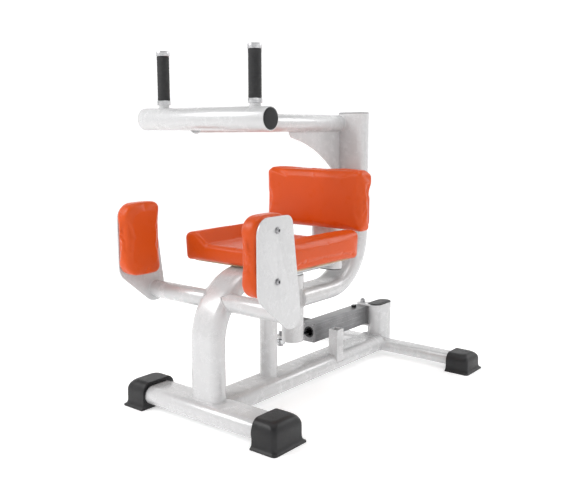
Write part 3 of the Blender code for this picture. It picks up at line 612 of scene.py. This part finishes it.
def shoe(node, side):
    """A rubber shoe: a flared sole, upright walls and a domed crown."""
    width = 2 * half_size(node).x
    half = half_size(node).y
    total = 2 * half_size(node).z
    inner = min(abs(low(node).x), abs(high(node).x))
    centre = mid(node)
    heights = [0.0, 0.0008, 0.0035, 0.0042, 0.0060, 0.0085, 0.012, 0.017, 0.024]
    heights += [total * (0.35 + 0.65 * math.sin(math.pi / 2 * k / 16)) for k in range(17)]
    levels = [(height, foot_inset(height, total)) for height in sorted(heights) if height <= total]
    levels[0] = (0.0, levels[0][1] + 0.0008)
    levels.append((total, foot_inset(total, total) + 0.004))
    rings = []
    for height, inset in levels:
        ring = foot_ring(width, half, inset, height)
        rings.append([(side * (inner + u), centre.y + v, w) for u, v, w in ring])
    for_node(node, *loft(rings), angle=30)
    return inner


def feet():
    for row, outline in (("front", big_oval), ("rear", small_oval)):
        tube_mid = mid(row + "_cross_tube")
        for side, label in SIDES:
            node = "foot_" + row + "_" + label
            inner = shoe(node, side)
            # A moulded lip round the mouth that the tube enters
            lip = []
            for grow, out in ((0.0005, 0.0), (0.0005, 0.0026), (0.0012, 0.0034), (0.0036, 0.0034),
                              (0.0044, 0.0026), (0.0044, -0.002), (0.0005, -0.002)):
                lip.append([(side * (inner - out), tube_mid.y + u, tube_mid.z + v) for u, v in outline(grow)])
            publish("lip_" + node, *loft(lip, closed=True), "frame", "rubber_feet")


# ---- seat frame

def seat_frame():
    front_y = mid("front_cross_tube").y
    top = high("spine_tube").z
    run_z = high("front_column_tube").z - TUBE_T / 2
    upright_y = mid("back_upright").y
    path = ((front_y, top - 0.002), (front_y, run_z), (upright_y, run_z))
    for_node("front_column_tube", *swept(big_oval, bent_tube(path)))

    middle = mid("support_column")
    radius = half_size("support_column").x
    foot = (middle.x, middle.y, low("support_column").z)
    head = (middle.x, middle.y, high("support_column").z)
    for_node("support_column", *pipe(radius, radius - 0.003, foot, head))
    for z, label in ((top, "lower"), (run_z - TUBE_T / 2, "upper")):
        points = [(u, middle.y + v, z) for u, v in circle(radius)]
        bead("weld_support_" + label, points, FINE_BEAD_R)

    points = [(x, upright_y - tube_face(x), run_z + z) for x, z in big_oval()]
    bead("weld_upright", points)
    thigh_supports(front_y + BEND_R, run_z - BEND_R)
    refined("accessory_socket", 0.0006)
    refined("seat_board", 0.0010)
    refined("back_board", 0.0010)
    seat_straps(run_z + TUBE_T / 2)


def thigh_supports(bend_y, bend_z):
    """The cross tubes and plates of the thigh pads, welded to the bend whose centre is given."""
    for side, label in SIDES:
        node = "thigh_tube_" + label
        tube = mid(node)
        radius = half_size(node).z
        outer = side * max(abs(low(node).x), abs(high(node).x))
        inner = side * 0.040
        for_node(node, *rod(radius, (inner, tube.y, tube.z), (outer, tube.y, tube.z)))
        points = []
        for u, v in circle(radius):
            off = math.hypot(tube.y + u - bend_y, tube.z + v - bend_z) - BEND_R
            points.append((side * tube_side(min(off, TUBE_T / 2)), tube.y + u, tube.z + v))
        bead("weld_thigh_" + label, points, FINE_BEAD_R)
        points = [(outer, tube.y + u, tube.z + v) for u, v in circle(radius)]
        bead("weld_plate_" + label, points, 0.0024)
        refined("thigh_plate_" + label, 0.0011)


def seat_straps(run_top):
    """Two flat cross straps between the run and the seat board, with their bolts."""
    board = mid("seat_board")
    sunk = 0.0022
    thick = low("seat_board").z - run_top + sunk
    z = run_top + thick / 2 - sunk
    outline = box_outline(0.018, thick / 2, 0.0006)
    for offset, label in ((-0.085, "front"), (0.095, "rear")):
        y = board.y + offset
        strap = bar(outline, (-0.150, y, z), (0.150, y, z), (0, 1, 0), 0.0005)
        publish("seat_strap_" + label, *strap, "frame", "silver_powder_coat")
        for x, screw_side in ((-0.130, "_right"), (0.130, "_left")):
            head = placed(hex_head(0.0065, 0.0050), (x, y, z - thick / 2), (0, 0, -1))
            publish("seat_screw_" + label + screw_side, *head, "frame", "zinc_fasteners")


# ---- fasteners

def placed(shape, centre, direction):
    """Turns a shape made about +Z so that it stands along a direction from a centre."""
    verts, faces = shape
    turn = Vector((0, 0, 1)).rotation_difference(Vector(direction)).to_matrix()
    return [turn @ Vector(vert) + Vector(centre) for vert in verts], faces


def shaped_rings(profile, steps=72):
    """A solid of rings about +Z: (size, height, sides), with 6 sides for a hexagon and 0 for a circle."""
    rings = []
    for size, height, sides in profile:
        ring = []
        for k in range(steps):
            angle = TAU * k / steps
            radius = size / math.cos(angle % (TAU / 6) - TAU / 12) if sides else size
            ring.append((radius * math.cos(angle), radius * math.sin(angle), height))
        rings.append(ring)
    return loft(rings)


def button_head(radius, height, shank_r, shank_l):
    """A domed socket-head bolt on a washer, its shank below the origin."""
    key = radius * 0.42
    profile = [(ON_AXIS, height * 0.30, 6), (key, height * 0.30, 6), (key, height * 0.93, 6),
               (key + 0.0002, height, 6), (radius * 0.60, height * 0.97, 0)]
    seat = 0.0016
    for k in range(1, 9):
        angle = math.pi / 2 * k / 9
        size = radius * (0.60 + 0.40 * math.sin(angle))
        profile.append((size, seat + (height * 0.97 - seat) * math.cos(angle), 0))
    washer = radius * 1.22
    profile += [(radius, seat, 0), (washer - 0.0003, seat, 0), (washer, 0.0012, 0),
                (washer, 0.0003, 0), (shank_r, 0.0003, 0), (shank_r, -shank_l, 0),
                (ON_AXIS, -shank_l, 0)]
    return shaped_rings(profile)


def hex_head(flat, height):
    """A plain hexagon head with chamfered corners, standing on a washer."""
    washer = flat * 1.35
    profile = [(ON_AXIS, height, 0), (flat * 0.93, height, 0), (flat * 0.99, height - 0.0003, 6),
               (flat, height - 0.0008, 6), (flat, 0.0014, 6), (washer - 0.0003, 0.0014, 0),
               (washer, 0.0011, 0), (washer, -0.0005, 0), (ON_AXIS, -0.0005, 0)]
    return shaped_rings(profile)


def pad_bolt(node, seat, facing, shank):
    """A button-head bolt of a cushion, standing on its seat."""
    for_node(node, *placed(button_head(0.0080, 0.0066, 0.0038, shank), seat, facing), angle=32)


def fasteners():
    for side, label in SIDES:
        plate = "thigh_plate_" + label
        face = side * max(abs(low(plate).x), abs(high(plate).x))
        for level in ("upper", "lower"):
            node = "thigh_bolt_" + level + "_" + label
            middle = mid(node)
            pad_bolt(node, (face, middle.y, middle.z), (side, 0, 0), 0.0055)
    face = high("back_upright").y
    for level in ("lower", "upper"):
        node = "back_bolt_" + level
        middle = mid(node)
        pad_bolt(node, (middle.x, face, middle.z), (0, 1, 0), face - low(node).y - 0.001)
    for node in ("crank_pin", "shaft_nut", "pivot_shaft"):
        refined(node, 0.0004, 2)


# ---- swing arm

def swing_arm():
    post_y = mid("post_cap").y
    arm = mid("arm_tube")
    arm_r = half_size("arm_tube").z
    grip_bar = mid("handle_bar")
    bar_r = half_size("handle_bar").z
    post_and_sleeve(post_y)

    start = low("arm_tube").y
    for_node("arm_tube", *rod(arm_r, (arm.x, start, arm.z), (arm.x, post_y, arm.z), 72))
    points = []
    for u, v in circle(arm_r):
        rise = arm.z + v - grip_bar.z
        reach = math.sqrt(max(0, bar_r ** 2 - rise ** 2))
        points.append((arm.x + u, max(start, grip_bar.y + reach), arm.z + v))
    bead("weld_bar", points, 0.0028, "swing_arm")
    points = [(arm.x + u, post_y - tube_face(arm.x + u), arm.z + v) for u, v in circle(arm_r)]
    bead("weld_arm_post", points, 0.0028, "swing_arm")

    refined("arm_gusset", 0.0010)
    gusset_welds(arm.x, arm.z - arm_r, post_y)
    handle_bar(grip_bar, bar_r)
    refined("crank_arm", 0.0008)


def post_and_sleeve(post_y):
    """The J-shaped post, and the sleeve that it is welded to."""
    pivot_y = mid("pivot_sleeve").y
    run_z = low("swing_post").z + TUBE_T / 2
    top = low("post_cap").z + 0.010 - 0.0002
    path = ((pivot_y, run_z), (post_y, run_z), (post_y, top))
    for_node("swing_post", *swept(big_oval, bent_tube(path)))

    radius = half_size("pivot_sleeve").x
    foot = (0, pivot_y, low("pivot_sleeve").z)
    head = (0, pivot_y, high("pivot_sleeve").z)
    for_node("pivot_sleeve", *pipe(radius, radius - 0.004, foot, head, 96, 0.0010))
    loop = []
    for top in (1, -1):
        for k in range(33):
            angle = math.pi * k / 32 if top > 0 else math.pi * (1 - k / 32)
            x = radius * math.cos(angle)
            loop.append((x, pivot_y + radius * math.sin(angle), run_z + top * tube_face(x)))
    bead("weld_sleeve", loop, 0.0034, "swing_arm")


def gusset_welds(arm_x, arm_bottom, post_y):
    """Short beads on both sides of the gusset, along the arm and down the post."""
    gusset = low("arm_gusset")
    for side, tag in ((-1, "_right"), (1, "_left")):
        x = arm_x + side * 0.0036
        line = [(x, gusset.y + 0.004, arm_bottom), (x, post_y - TUBE_T / 2 - 0.003, arm_bottom)]
        bead("weld_gusset_arm" + tag, line, 0.0022, "swing_arm", closed=False)
        y = post_y - tube_face(arm_x)
        line = [(x, y, gusset.z + 0.004), (x, y, arm_bottom)]
        bead("weld_gusset_post" + tag, line, 0.0022, "swing_arm", closed=False)


def handle_bar(centre, radius):
    end = high("handle_bar").x
    for_node("handle_bar", *rod(radius, (-end, centre.y, centre.z), (end, centre.y, centre.z), 80))
    for side, label in SIDES:
        node = "bar_cap_" + label
        cap_r = half_size(node).z
        profile = ((ON_AXIS, 0.0029), (0.010, 0.0029), (0.0235, 0.0026), (cap_r - 0.0045, 0.0024),
                   (cap_r - 0.0018, 0.0021), (cap_r - 0.0005, 0.0012), (cap_r - 0.0002, -0.0004),
                   (ON_AXIS, -0.0004))
        for_node(node, *lathe(profile, (side * end, centre.y, centre.z), (side, 0, 0), 80))
        handle(side, label, centre, radius)


def turned_size(node):
    """Bottom, top and radius of a node that is turned about an upright axis."""
    return low(node).z, high(node).z, half_size(node).x


def groove(radius, z):
    """A shallow turned groove that starts at a height, as profile points."""
    floor = radius - 0.0007
    return [(radius, z), (floor, z + 0.0005), (floor, z + 0.0012), (radius, z + 0.0017)]


def handle(side, label, bar_mid, bar_r):
    node = "handle_stem_" + label
    top, stem_r = turned_size(node)[1:]
    x = mid(node).x
    y = bar_mid.y
    for_node(node, *rod(stem_r, (x, y, bar_mid.z), (x, y, top)))
    points = [(x + u, y + v, bar_mid.z + math.sqrt(bar_r ** 2 - v ** 2)) for u, v in circle(stem_r)]
    bead("weld_stem_" + label, points, 0.0024, "swing_arm")
    grip("handle_grip_" + label, stem_r, (x, y, 0))

    node = "grip_collar_" + label
    first, last, radius = turned_size(node)
    profile = [(stem_r, first), (radius - 0.0012, first), (radius, first + 0.0012)]
    profile += groove(radius, first + 0.0040)
    profile += [(radius, last - 0.0012), (radius - 0.0012, last), (stem_r, last)]
    verts, faces = lathe(profile, (x, y, 0))
    for_node(node, verts, faces[:-2], angle=30)
    key = shaped_rings([(ON_AXIS, -0.0012, 6), (0.0011, -0.0012, 6), (0.0012, 0.0001, 6),
                        (0.0022, 0.0001, 0), (0.0026, -0.0004, 0), (0.0026, -0.0030, 0),
                        (ON_AXIS, -0.0030, 0)], 36)
    facing = Vector((side * 0.25, -1, 0)).normalized()
    spot = Vector((x, y, (first + last) / 2 + 0.0018)) + facing * (radius + 0.0001)
    publish("grip_set_screw_" + label, *placed(key, spot, facing), "swing_arm", "zinc_fasteners")

    node = "grip_end_cap_" + label
    first, last, radius = turned_size(node)
    profile = [(ON_AXIS, first), (radius - 0.0006, first), (radius, first + 0.0006)]
    profile += groove(radius, first + 0.0040)
    profile += [(radius, last - 0.0022), (radius - 0.0007, last - 0.0008), (radius - 0.0022, last - 0.0001),
                (radius * 0.62, last), (radius * 0.58, last - 0.0006), (ON_AXIS, last - 0.0006)]
    for_node(node, *lathe(profile, (x, y, 0)), angle=30)


def grip(node, bore, centre):
    """A rubber grip with turned ribs between its smooth ends."""
    first, last, radius = turned_size(node)
    profile = [(bore, first + 0.0002), (radius - 0.0014, first + 0.0002), (radius - 0.0004, first + 0.0008),
               (radius, first + 0.0020), (radius, first + 0.0075)]
    pitch = 0.0042
    z = first + 0.0080
    while z < last - 0.0095:
        profile += [(radius - 0.0008, z), (radius - 0.0008, z + 0.0008), (radius - 0.0001, z + 0.0014),
                    (radius, z + 0.0024), (radius - 0.0001, z + 0.0034)]
        z += pitch
    profile += [(radius, z + 0.0010), (radius, last - 0.0020), (radius - 0.0004, last - 0.0008),
                (radius - 0.0014, last - 0.0002), (bore, last - 0.0002)]
    verts, faces = lathe(profile, centre)
    for_node(node, verts, faces[:-2], angle=50)


# ---- damper

def damper():
    refined("damper_housing", 0.0010)
    refined("damper_gland", 0.0008)
    refined("damper_rear_eye", 0.0010)
    refined("damper_bracket", 0.0008)
    refined("damper_rod", 0.0005, 2)
    housing = mid("damper_housing")
    gland_y = low("damper_gland").y
    housing_ribs(housing)
    gland_trim(housing, gland_y)
    bracket_bolt()
    dial()


def housing_ribs(housing):
    """Shallow ribs of the extrusion along both sides."""
    first = low("damper_housing").y + 0.004
    last = high("damper_housing").y - 0.004
    outline = box_outline(0.0040, 0.0004, 0.0003, 3, share=0.1)
    for side, label in SIDES:
        x = housing.x + side * (half_size("damper_housing").x - 0.0002)
        for number in (0, 20, 40):
            z = housing.z + (number - 20) / 1000
            rib = bar(outline, (x, first, z), (x, last, z), (0, 0, 1), 0.0002)
            publish("damper_rib_" + label + "_" + str(number), *rib, "frame", "damper_grey")


def gland_trim(housing, gland_y):
    """Four small screws, and a wiper ring round the gland's bore."""
    for side in (-1, 1):
        for up in (-1, 1):
            head = button_head(0.0024, 0.0018, 0.0010, 0.002)
            spot = (housing.x + side * 0.0190, gland_y, housing.z + up * 0.0275)
            name = "gland_screw_" + str(1 + (side > 0) + 2 * (up > 0))
            publish(name, *placed(head, spot, (0, -1, 0)), "frame", "zinc_fasteners", 32)
    bore = 0.0160
    ring = []
    for radius, out in ((bore, -0.001), (bore, 0.0012), (bore + 0.0008, 0.0020), (bore + 0.0036, 0.0020),
                        (bore + 0.0044, 0.0012), (bore + 0.0044, -0.001)):
        ring.append([(housing.x + u, gland_y - out, housing.z + v) for u, v in circle(radius)])
    publish("gland_wiper", *loft(ring, closed=True), "frame", "black_plastic")


def bracket_bolt():
    bolt = mid("bracket_bolt")
    bottom = low("bracket_bolt").z
    seat = high("damper_bracket").z
    tall = high("bracket_bolt").z - seat
    head = shaped_rings([(ON_AXIS, tall, 0), (0.0046, tall, 0), (0.0054, tall - 0.0008, 0),
                         (0.0054, tall - 0.0055, 0), (0.0084, tall - 0.0055, 0),
                         (0.0089, tall - 0.0060, 6), (0.0090, tall - 0.0066, 6), (0.0090, 0.0016, 6),
                         (0.0120, 0.0016, 0), (0.0124, 0.0012, 0), (0.0124, -0.0004, 0),
                         (ON_AXIS, -0.0004, 0)])
    for_node("bracket_bolt", *placed(head, (bolt.x, bolt.y, seat), (0, 0, 1)), angle=32)
    shank = lathe([(ON_AXIS, bottom), (0.0054, bottom), (0.0059, bottom + 0.0006), (0.0059, seat + 0.001),
                   (ON_AXIS, seat + 0.001)], (bolt.x, bolt.y, 0), steps=32)
    publish("bracket_bolt_shank", *shank, "frame", "zinc_fasteners")
    nut = placed(hex_head(0.0090, 0.0055), (bolt.x, bolt.y, low("damper_bracket").z), (0, 0, -1))
    publish("bracket_nut", *nut, "frame", "zinc_fasteners", 32)


def dial():
    centre = mid("resistance_dial")
    base = low("resistance_dial").z
    tip = high("resistance_dial").z
    radius = half_size("resistance_dial").y
    rings = []
    profile = [(ON_AXIS, tip, 0), (radius * 0.78, tip, 0), (radius * 0.86, tip - 0.0006, 0.02),
               (radius * 0.94, tip - 0.0012, 0.05), (radius * 0.95, base + 0.0022, 0.05),
               (radius * 0.90, base + 0.0018, 0), (radius * 0.90, base + 0.0012, 0),
               (radius, base + 0.0008, 0), (radius, base, 0), (ON_AXIS, base, 0)]
    for size, height, depth in profile:
        ring = []
        for k in range(120):
            angle = TAU * k / 120
            reach = size * (1 + depth * math.cos(24 * angle))
            ring.append((centre.x + reach * math.cos(angle), centre.y + reach * math.sin(angle), height))
        rings.append(ring)
    for_node("resistance_dial", *loft(rings), angle=30)
    outline = box_outline(0.0006, 0.0002, 0.0001, 2, share=0.2)
    start = (centre.x, centre.y - radius * 0.72, tip)
    end = (centre.x, centre.y - radius * 0.30, tip)
    mark = bar(outline, start, end, (1, 0, 0), 0.0001)
    publish("dial_mark", *mark, "resistance_dial", "brushed_aluminium")


# ---- upholstery

def pad_mesh(points, along, start, end):
    """Sweeps outline points (a, b) along one axis from start to end, and rounds both ends."""
    shape = np.array(points)
    after = np.roll(shape, -1, axis=0) - shape
    before = shape - np.roll(shape, 1, axis=0)
    tangent = after / np.linalg.norm(after, axis=1)[:, None]
    tangent += before / np.linalg.norm(before, axis=1)[:, None]
    tangent /= np.linalg.norm(tangent, axis=1)[:, None]
    outward = np.stack([tangent[:, 1], -tangent[:, 0]], axis=1)
    area = np.sum(shape[:, 0] * np.roll(shape[:, 1], -1) - np.roll(shape[:, 0], -1) * shape[:, 1])
    if area < 0:
        outward = -outward
    marks = []
    for k in range(8, -1, -1):
        turn = math.pi / 2 * k / 8
        marks.append((PAD_END_R * (1 - math.sin(turn)), PAD_END_R * (1 - math.cos(turn))))
    stations = [(start + gap, shrink) for gap, shrink in marks]
    stations += [(end - gap, shrink) for gap, shrink in reversed(marks)]
    rings = []
    for position, shrink in stations:
        ring = shape - outward * shrink
        rings.append([(*point[:along], position, *point[along:]) for point in ring])
    return loft(rings)


def corners(points, steps=7):
    """A closed outline through (a, b, radius) corners."""
    out = []
    count = len(points)
    for index, (a, b, radius) in enumerate(points):
        here = Vector((a, b))
        before = (Vector(points[index - 1][:2]) - here).normalized()
        after = (Vector(points[(index + 1) % count][:2]) - here).normalized()
        half = before.angle(after) / 2
        centre = here + (before + after).normalized() * (radius / math.sin(half))
        start = here + before * (radius / math.tan(half)) - centre
        end = here + after * (radius / math.tan(half)) - centre
        sweep = start.angle_signed(end)
        for step in range(steps + 1):
            out.append(tuple(centre + Matrix.Rotation(-sweep * step / steps, 2) @ start))
    return out


def inflate(obj):
    """Remeshes a pad, swells it as a cloth under pressure, and limits how far it moves."""
    remesh = obj.modifiers.new("remesh", "REMESH")
    remesh.mode = "VOXEL"
    remesh.voxel_size = PAD_VOXEL
    depsgraph = bpy.context.evaluated_depsgraph_get()
    mesh = bpy.data.meshes.new_from_object(obj.evaluated_get(depsgraph))
    obj.modifiers.clear()
    obj.data = mesh
    work = bmesh.new()
    work.from_mesh(mesh)
    for _ in range(4):
        bmesh.ops.smooth_vert(work, verts=work.verts, factor=0.5, use_axis_x=True, use_axis_y=True,
                              use_axis_z=True)
    work.to_mesh(mesh)
    work.free()
    rest = np.array([tuple(vert.co) for vert in mesh.vertices])
    cloth = obj.modifiers.new("cloth", "CLOTH")
    for setting, value in CLOTH.items():
        setattr(cloth.settings, setting, value)
    cloth.settings.effector_weights.gravity = 0
    cloth.collision_settings.use_collision = False
    cloth.point_cache.frame_start = 1
    cloth.point_cache.frame_end = CLOTH_FRAMES
    scene = bpy.context.scene
    for step in range(1, CLOTH_FRAMES + 1):
        scene.frame_set(step)
    moved = obj.evaluated_get(bpy.context.evaluated_depsgraph_get()).data
    now = np.array([tuple(vert.co) for vert in moved.vertices])
    shift = now - rest
    size = np.linalg.norm(shift, axis=1)[:, None]
    shift *= np.minimum(1.0, PAD_SWELL / np.maximum(size, 1e-9))
    obj.modifiers.clear()
    mesh.vertices.foreach_set("co", (rest + shift).ravel())
    scene.frame_set(1)


def pad(node, shape, limits):
    """Makes one cushion. limits: (axis, sign, value) planes it may not pass, where it rests flat."""
    name = "look_" + node
    verts, faces = shape
    mesh = bpy.data.meshes.new(name)
    mesh.from_pydata([tuple(vert) for vert in verts], [], faces)
    finish_mesh(mesh, 180)
    obj = bpy.data.objects.new(name, mesh)
    place(obj, BODY[node], SLOT[node], (node,))
    inflate(obj)
    mesh = obj.data
    spots = np.array([tuple(vert.co) for vert in mesh.vertices])
    for axis, sign, value in limits:
        if sign > 0:
            spots[:, axis] = np.minimum(spots[:, axis], value)
        else:
            spots[:, axis] = np.maximum(spots[:, axis], value)
    mesh.vertices.foreach_set("co", spots.ravel())
    work = bmesh.new()
    work.from_mesh(mesh)
    bmesh.ops.subdivide_edges(work, edges=work.edges, cuts=1, use_grid_fill=True, smooth=1.0)
    for face in work.faces:
        face.smooth = True
    work.to_mesh(mesh)
    work.free()
    mesh.materials.clear()
    mesh.materials.append(MATERIALS[SLOT[node]])
    return obj


def seat_pad():
    """A flat middle between two raised side bolsters."""
    first = low("seat_cushion")
    last = high("seat_cushion")
    half = last.x - PAD_INSET
    crest = last.z - PAD_INSET
    floor = crest - 0.040
    lip = half - 0.038
    channel = half - 0.093
    outline = corners([
        (-half, first.z, 0.012), (half, first.z, 0.012), (half, crest, 0.020), (lip, crest, 0.018),
        (channel, floor, 0.014), (-channel, floor, 0.014), (-lip, crest, 0.018), (-half, crest, 0.020)])
    shape = pad_mesh(outline, 1, first.y + PAD_INSET, last.y - PAD_INSET)
    pad("seat_cushion", shape, [(2, -1, first.z)])


def back_pad():
    """A flat pad whose top rolls back over its board."""
    first = low("back_cushion")
    last = high("back_cushion")
    front = first.y + PAD_INSET
    rear = first.y + BACK_PAD_THICK - PAD_INSET
    roll = last.y - PAD_INSET
    bottom = first.z + PAD_INSET
    top = last.z - PAD_INSET
    neck = first.z + BACK_ROLL_RISE
    outline = corners([(front, bottom, 0.018), (rear, bottom, 0.014), (rear, neck - 0.016, 0.012),
                       (roll, neck + 0.012, 0.016), (roll, top, 0.026), (front, top, 0.018)])
    half = last.x - PAD_INSET
    verts, faces = pad_mesh(outline, 0, -half, half)
    verts = [round_corner(vert, half, top, 0.036) for vert in verts]
    obj = pad("back_cushion", (verts, faces), [])
    # Its board backs the lower rear, which is flat
    plane = first.y + BACK_PAD_THICK
    for vert in obj.data.vertices:
        if vert.co.z < neck - 0.012 and vert.co.y > plane:
            vert.co.y = plane


def round_corner(vert, half, top, radius):
    """Draws the upper side corners of the back pad in to a radius."""
    x, y, z = vert
    over = abs(x) - (half - radius)
    up = z - (top - radius)
    if over <= 0 or up <= 0:
        return vert
    scale = max(over, up) / math.hypot(over, up)
    return (math.copysign(half - radius + over * scale, x), y, top - radius + up * scale)


def thigh_pads():
    for side, label in SIDES:
        node = "thigh_cushion_" + label
        first = low(node)
        last = high(node)
        front = first.y + PAD_INSET
        back = last.y - PAD_INSET
        bottom = first.z + PAD_INSET
        top = last.z - PAD_INSET
        outline = corners([(front, bottom, 0.046), (back, bottom, 0.022), (back, top, 0.022),
                           (front, top, 0.046)], 9)
        face = last.x if side > 0 else first.x
        ends = (first.x + PAD_INSET, face) if side > 0 else (face, last.x - PAD_INSET)
        pad(node, pad_mesh(outline, 0, *ends), [(0, side, face)])


def hem(name, points, radius):
    """A narrow folded hem where a cover is pulled round its board."""
    count = len(points)
    middle = sum((Vector(point) for point in points), Vector()) / count
    rings = []
    for index in range(count):
        here = Vector(points[index])
        along = (Vector(points[(index + 1) % count]) - Vector(points[index - 1])).normalized()
        away = here - middle
        out = (away - along * away.dot(along)).normalized()
        side = along.cross(out)
        rings.append([here + out * u + side * v for u, v in circle(radius, 10)])
    publish(name, *loft(rings, closed=True), "frame", "orange_vinyl", 80)


def hems():
    seat = mid("seat_board")
    half = half_size("seat_board")
    z = low("seat_cushion").z + 0.0006
    outline = rounded_box(half.x - 0.010, half.y - 0.010, 0.028, 10)
    hem("seat_hem", [(seat.x + u, seat.y + v, z) for u, v in outline], 0.0012)
    back = mid("back_board")
    half = half_size("back_board")
    y = high("back_board").y - 0.0008
    outline = rounded_box(half.x + 0.004, half.z + 0.004, 0.022, 10)
    hem("back_hem", [(back.x + u, y, back.z + v) for u, v in outline], 0.0016)


def keep_cad_nodes():
    """Gives the solids that stay visible as they are their own detailed material."""
    for node, obj in NODES.items():
        for slot in obj.material_slots:
            slot.material = MATERIALS[SLOT[node]]


# ---- studio

def backdrop():
    """A floor that curves up into a backdrop all round."""
    rings = []
    profile = ((0.5, 0), (3.0, 0), (6.0, 0), (7.2, 0.15), (8.2, 0.6), (8.9, 1.4), (9.2, 2.6), (9.2, 7.0))
    for radius, height in profile:
        rings.append([(u, v, height) for u, v in circle(radius, 96)])
    verts, faces = loft(rings, capped=False)
    faces.append(tuple(range(96))[::-1])
    mesh = bpy.data.meshes.new("backdrop")
    mesh.from_pydata(verts, [], faces)
    finish_mesh(mesh, 80)
    obj = bpy.data.objects.new("backdrop", mesh)
    bpy.context.scene.collection.objects.link(obj)
    mesh.materials.append(floor_material())


def studio():
    scene = bpy.context.scene
    scene.view_settings.view_transform = "Standard"
    world = bpy.data.worlds.new("studio")
    world.use_nodes = True
    world.node_tree.nodes["Background"].inputs["Color"].default_value = (1.0, 1.0, 1.0, 1)
    world.node_tree.nodes["Background"].inputs["Strength"].default_value = WORLD_STRENGTH
    scene.world = world
    backdrop()
    for name, spot, target, size, power in (
            ("key", (-1.9, -2.6, 2.9), (0, 0, 0.6), 1.6, 62),
            ("fill", (3.6, -0.6, 1.6), (0, 0, 0.5), 1.4, 6),
            ("rim", (1.8, 3.0, 2.6), (0, 0, 0.7), 1.4, 26),
            ("top", (0, 0.2, 4.0), (0, 0, 0), 2.2, 44)):
        light = bpy.data.lights.new(name, "AREA")
        light.shape = "SQUARE"
        light.size = size
        light.energy = power
        obj = bpy.data.objects.new(name, light)
        obj.location = spot
        obj.rotation_euler = (Vector(target) - Vector(spot)).to_track_quat("-Z", "Y").to_euler()
        scene.collection.objects.link(obj)


def camera():
    data = bpy.data.cameras.new("camera")
    data.sensor_width = 36
    data.sensor_fit = "HORIZONTAL"
    data.lens = LENS
    data.clip_end = 60
    obj = bpy.data.objects.new("camera", data)
    obj.location = CAMERA_PLACE
    obj.rotation_euler = (math.radians(90 - CAMERA_TILT), 0, math.radians(CAMERA_TURN))
    bpy.context.scene.collection.objects.link(obj)
    bpy.context.scene.camera = obj


camera()
studio()
keep_cad_nodes()
base_frame()
caps()
feet()
seat_frame()
fasteners()
swing_arm()
damper()
seat_pad()
back_pad()
thigh_pads()
hems()
